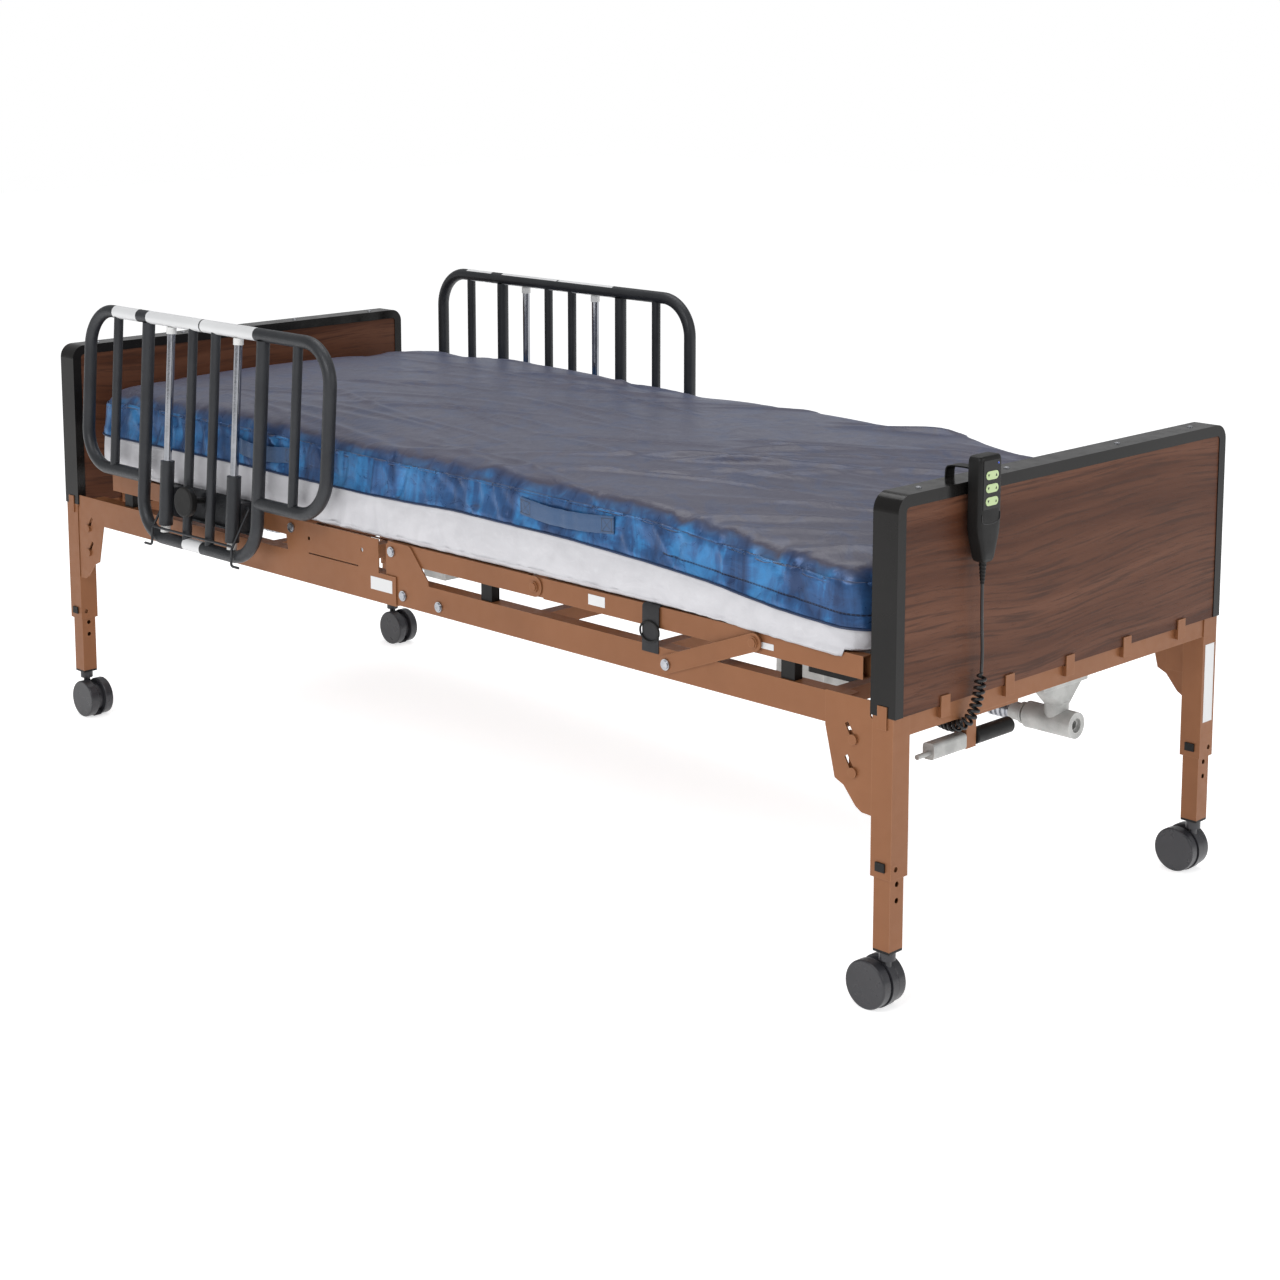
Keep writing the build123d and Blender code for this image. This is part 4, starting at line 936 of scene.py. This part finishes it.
PANEL_X, LEG_Y, TRIM_SCREWS_Y = 1.112, 0.4245, (-0.369, -0.151, 0.151, 0.369)
PLUG_HALF, PLUG_BOTTOM, PLUG_TOP = 0.0162, 0.0935, 0.0985
for end, sx in ENDS.items():
    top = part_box(f"{end}_panel_trim")[1].z
    heads = [screw_head("head", (sx * PANEL_X, y, top), (0, 0, 1)) for y in TRIM_SCREWS_Y]
    place(joined(f"trim_screws_{end}", heads), "bed", "zinc_steel", zinc)
    plugs = []
    for sy in (-1, 1):
        plugs.append(box_piece("plug", (sx * PANEL_X - PLUG_HALF, sy * LEG_Y - PLUG_HALF, PLUG_BOTTOM),
                               (sx * PANEL_X + PLUG_HALF, sy * LEG_Y + PLUG_HALF, PLUG_TOP), 0.0012))
    place(joined(f"leg_plugs_{end}", plugs), f"{end}_legs", "black_plastic", plastic_black)

RAIL_MIDDLE, RAIL_CLAMP_Z, STICKER_RADIUS = -0.58, 0.530, 0.01292
STICKERS = ((-0.307, -0.222, 0.898), (-0.186, -0.004, 0.898), (0.0, 0.172, 0.898), (-0.038, 0.020, 0.462))
CAPS_BELOW, CAPS_ABOVE = 0.4885, 0.8715
LEG_BOLTS_FROM = 1.0
RAIL_OUT, RAIL_LEAN = {-1: 0.489, 1: 0.484}, {-1: math.radians(4), 1: 0.0}


def on_rail(s, x, z, out):
    """A point of a half rail: along it, up and outward, leaned as the rail is."""
    lean = s * RAIL_LEAN[s]
    y, rise = s * out, z - RAIL_CLAMP_Z
    return Vector((RAIL_MIDDLE + x, s * RAIL_OUT[s] + y * math.cos(lean) - rise * math.sin(lean),
                   RAIL_CLAMP_Z + y * math.sin(lean) + rise * math.cos(lean)))


def bar_label(name, s, x0, x1, z):
    """A blank sticker wrapped round a bar of the rail."""
    vertices, faces, steps = [], [], 20
    for k in range(steps + 1):
        angle = math.radians(-130 + 260 * k / steps)
        for x in (x0, x1):
            vertices.append(on_rail(s, x, z + STICKER_RADIUS * math.sin(angle),
                                    STICKER_RADIUS * math.cos(angle)))
    for k in range(steps):
        faces.append((2 * k, 2 * k + 1, 2 * k + 3, 2 * k + 2))
    obj = mesh_piece(name, vertices, faces)
    soften(obj)
    return obj


for side, s in SIDES.items():
    stickers = [bar_label("sticker", s, *sticker) for sticker in STICKERS]
    place(joined(f"rail_labels_{side}", stickers), f"rail_{side}", "rail_paint", label_white)
    posts = nodes[f"rail_posts_{side}"]
    posts.data.materials.append(cap_white.material)
    for polygon in posts.data.polygons:
        if polygon.center.z < CAPS_BELOW or polygon.center.z > CAPS_ABOVE:
            polygon.material_index = 1


bolts = nodes["frame_bolts"]
bolts.data.materials.append(copper.material)
for polygon in bolts.data.polygons:
    if abs(polygon.center.x) > LEG_BOLTS_FROM:
        polygon.material_index = 1


def blank_label(name, low, high, body, slot):
    return place(box_piece(name, low, high, 0.0001, 1), body, slot, label_white)


for side, s in SIDES.items():
    near_y, far_y = sorted((s * 0.4428, s * 0.4432))
    blank_label(f"frame_label_{side}", (-0.104, near_y, 0.452), (-0.042, far_y, 0.476), "bed", "rail_paint")
blank_label("foot_rail_label", (0.469, -0.4374, 0.523), (0.509, -0.4370, 0.541), "foot_section", "rail_paint")
blank_label("foot_rail_label_end", (0.836, -0.4374, 0.522), (0.886, -0.4370, 0.532), "foot_section", "rail_paint")
blank_label("leg_label", (1.1319, 0.411, 0.277), (1.1323, 0.439, 0.417), "bed", "copper_paint")

# a retaining strap looped over the near side of the foot section
strap_x, loop = 0.6195, []
for y, z in ((-0.4405, 0.470), (-0.4400, 0.500), (-0.4398, 0.530), (-0.4396, 0.546), (-0.4360, 0.5492),
             (-0.4280, 0.5494)):
    loop.append(Vector((strap_x, y, z)))
faces_out = [Vector((0, -1, 0))] * 4 + [Vector((0, -0.7, 0.7)), Vector((0, 0, 1))]
retainer = strap("retaining_strap", loop, faces_out, [Vector((1, 0, 0))] * 6, 0.038)
place(retainer, "foot_section", "black_plastic", webbing)
ring_points = [(strap_x + 0.020 * math.cos(a) * 1.1, -0.4432, 0.505 + 0.017 * math.sin(a))
               for a in np.linspace(0, 2 * math.pi, 14, endpoint=False)]
d_ring = wire("strap_ring", ring_points, 0.0018, 3, True)
place(d_ring, "foot_section", "black_plastic", plastic_black)


# ---- hand control --------------------------------------------------------------------------------
HAND_Y, HAND_X = -0.262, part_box("handset")[1].x - 0.014
HAND_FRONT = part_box("handset")[1].x
# height in metres, then half width and half depth in millimetres
LOFT = ((0.6800, 6.5, 7.0), (0.6806, 9.5, 9.0), (0.6825, 12.5, 11.0), (0.6870, 14.5, 12.4), (0.6950, 16.4, 13.3),
        (0.7080, 20.0, 13.8), (0.7220, 24.6, 14.0), (0.7340, 27.0, 14.0), (0.7460, 27.5, 14.0),
        (0.8000, 27.5, 14.0), (0.8340, 27.5, 14.0), (0.8400, 26.9, 13.8), (0.8438, 25.2, 13.0),
        (0.8456, 22.6, 11.6), (0.8460, 19.5, 9.8))


def hand_body():
    """The moulded casing: rounded sections stacked up the LOFT."""
    vertices, steps, squareness = [], 56, 0.36
    for z, half_width, half_depth in LOFT:
        for k in range(steps):
            angle = 2 * math.pi * k / steps
            c, d = math.cos(angle), math.sin(angle)
            vertices.append((HAND_X + half_depth / 1000 * math.copysign(abs(c) ** squareness, c),
                             HAND_Y + half_width / 1000 * math.copysign(abs(d) ** squareness, d), z))
    obj = mesh_piece("handset_body", vertices, tube_faces(len(LOFT), steps))
    soften(obj, 50)
    return obj


hook_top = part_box("foot_panel_trim")[1].z + 0.020
hook_line = [(HAND_X - 0.010, hook_top - 0.030), (HAND_X - 0.0105, hook_top - 0.010),
             (HAND_X - 0.014, hook_top - 0.0012), (HAND_X - 0.023, hook_top + 0.0005),
             (PANEL_X, hook_top + 0.0005), (1.0935, hook_top - 0.0005), (1.0872, hook_top - 0.005), (1.0858, hook_top - 0.016), (1.0858, hook_top - 0.046)]
hook_path = [Vector(p) for p in read_route([(x, HAND_Y, z) for x, z in hook_line], 6)[0]]
hook_outs = []
for k in range(len(hook_path)):
    step = (hook_path[min(k + 1, len(hook_path) - 1)] - hook_path[max(k - 1, 0)]).normalized()
    hook_outs.append(Vector((0, 1, 0)).cross(step) * -1)
hanger = strap("handset_hook", hook_path, hook_outs, [Vector((0, 1, 0))] * len(hook_path), 0.022, 0.0026)
relief_profile = [(0.0066, 0.004)]
relief_profile += [(0.0064 - 0.0028 * k / 12 - (0.0009 if k % 2 else 0), -0.0028 * k) for k in range(13)]
relief = revolved("relief", relief_profile, (HAND_X, HAND_Y, 0.6796), (0, 0, 1), 28)
GROOVE = ((-0.0225, 0.757), (-0.0225, 0.748), (-0.019, 0.7425), (0.0, 0.7405), (0.019, 0.7425),
          (0.0225, 0.748), (0.0225, 0.757))
groove = wire("handset_groove", [(HAND_FRONT - 0.0002, HAND_Y + y, z) for y, z in GROOVE], 0.0006)
casing = place(joined("handset_casing", [hand_body(), hanger, relief]), "bed", "handset_black", plastic_black)
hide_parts("handset")
place(groove, "bed", "handset_black", cord_black)
face = box_piece("handset_face", (HAND_FRONT - 0.0006, HAND_Y - 0.0205, 0.764),
                 (HAND_FRONT + 0.0003, HAND_Y + 0.0205, 0.8395), 0.0003, 2)
place(face, "bed", "handset_black", handset_gloss)
blue_lens = painted("blue lens", (0.02, 0.07, 0.5), (0.015, 0.05, 0.4), 0.15, 900, 0.00003, Coat_Weight=0.5)
lens = revolved("handset_lamp", [(0.0019, 0.0), (0.0017, 0.0006), (0.0009, 0.0011), (0.0002, 0.0012)],
                (HAND_FRONT + 0.0002, HAND_Y + 0.0155, 0.8335), (1, 0, 0), 20)
place(lens, "bed", "handset_black", blue_lens)
for number, name in enumerate(("back", "knee", "height")):
    button_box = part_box(f"button_{name}")
    middle = (button_box[0].z + button_box[1].z) / 2
    marks = []
    for way in (-1, 1):
        y = HAND_Y + way * 0.0095
        tall = 0.0022 * way
        marks.append(mesh_piece("mark", [(button_box[1].x + 0.00015, y - 0.0022, middle - tall),
                                         (button_box[1].x + 0.00015, y + 0.0022, middle - tall),
                                         (button_box[1].x + 0.00015, y, middle + tall)], [(0, 1, 2)], False))
    place(joined(f"rocker_marks_{name}", marks), f"rocker_{name}", "handset_black", plastic_black)
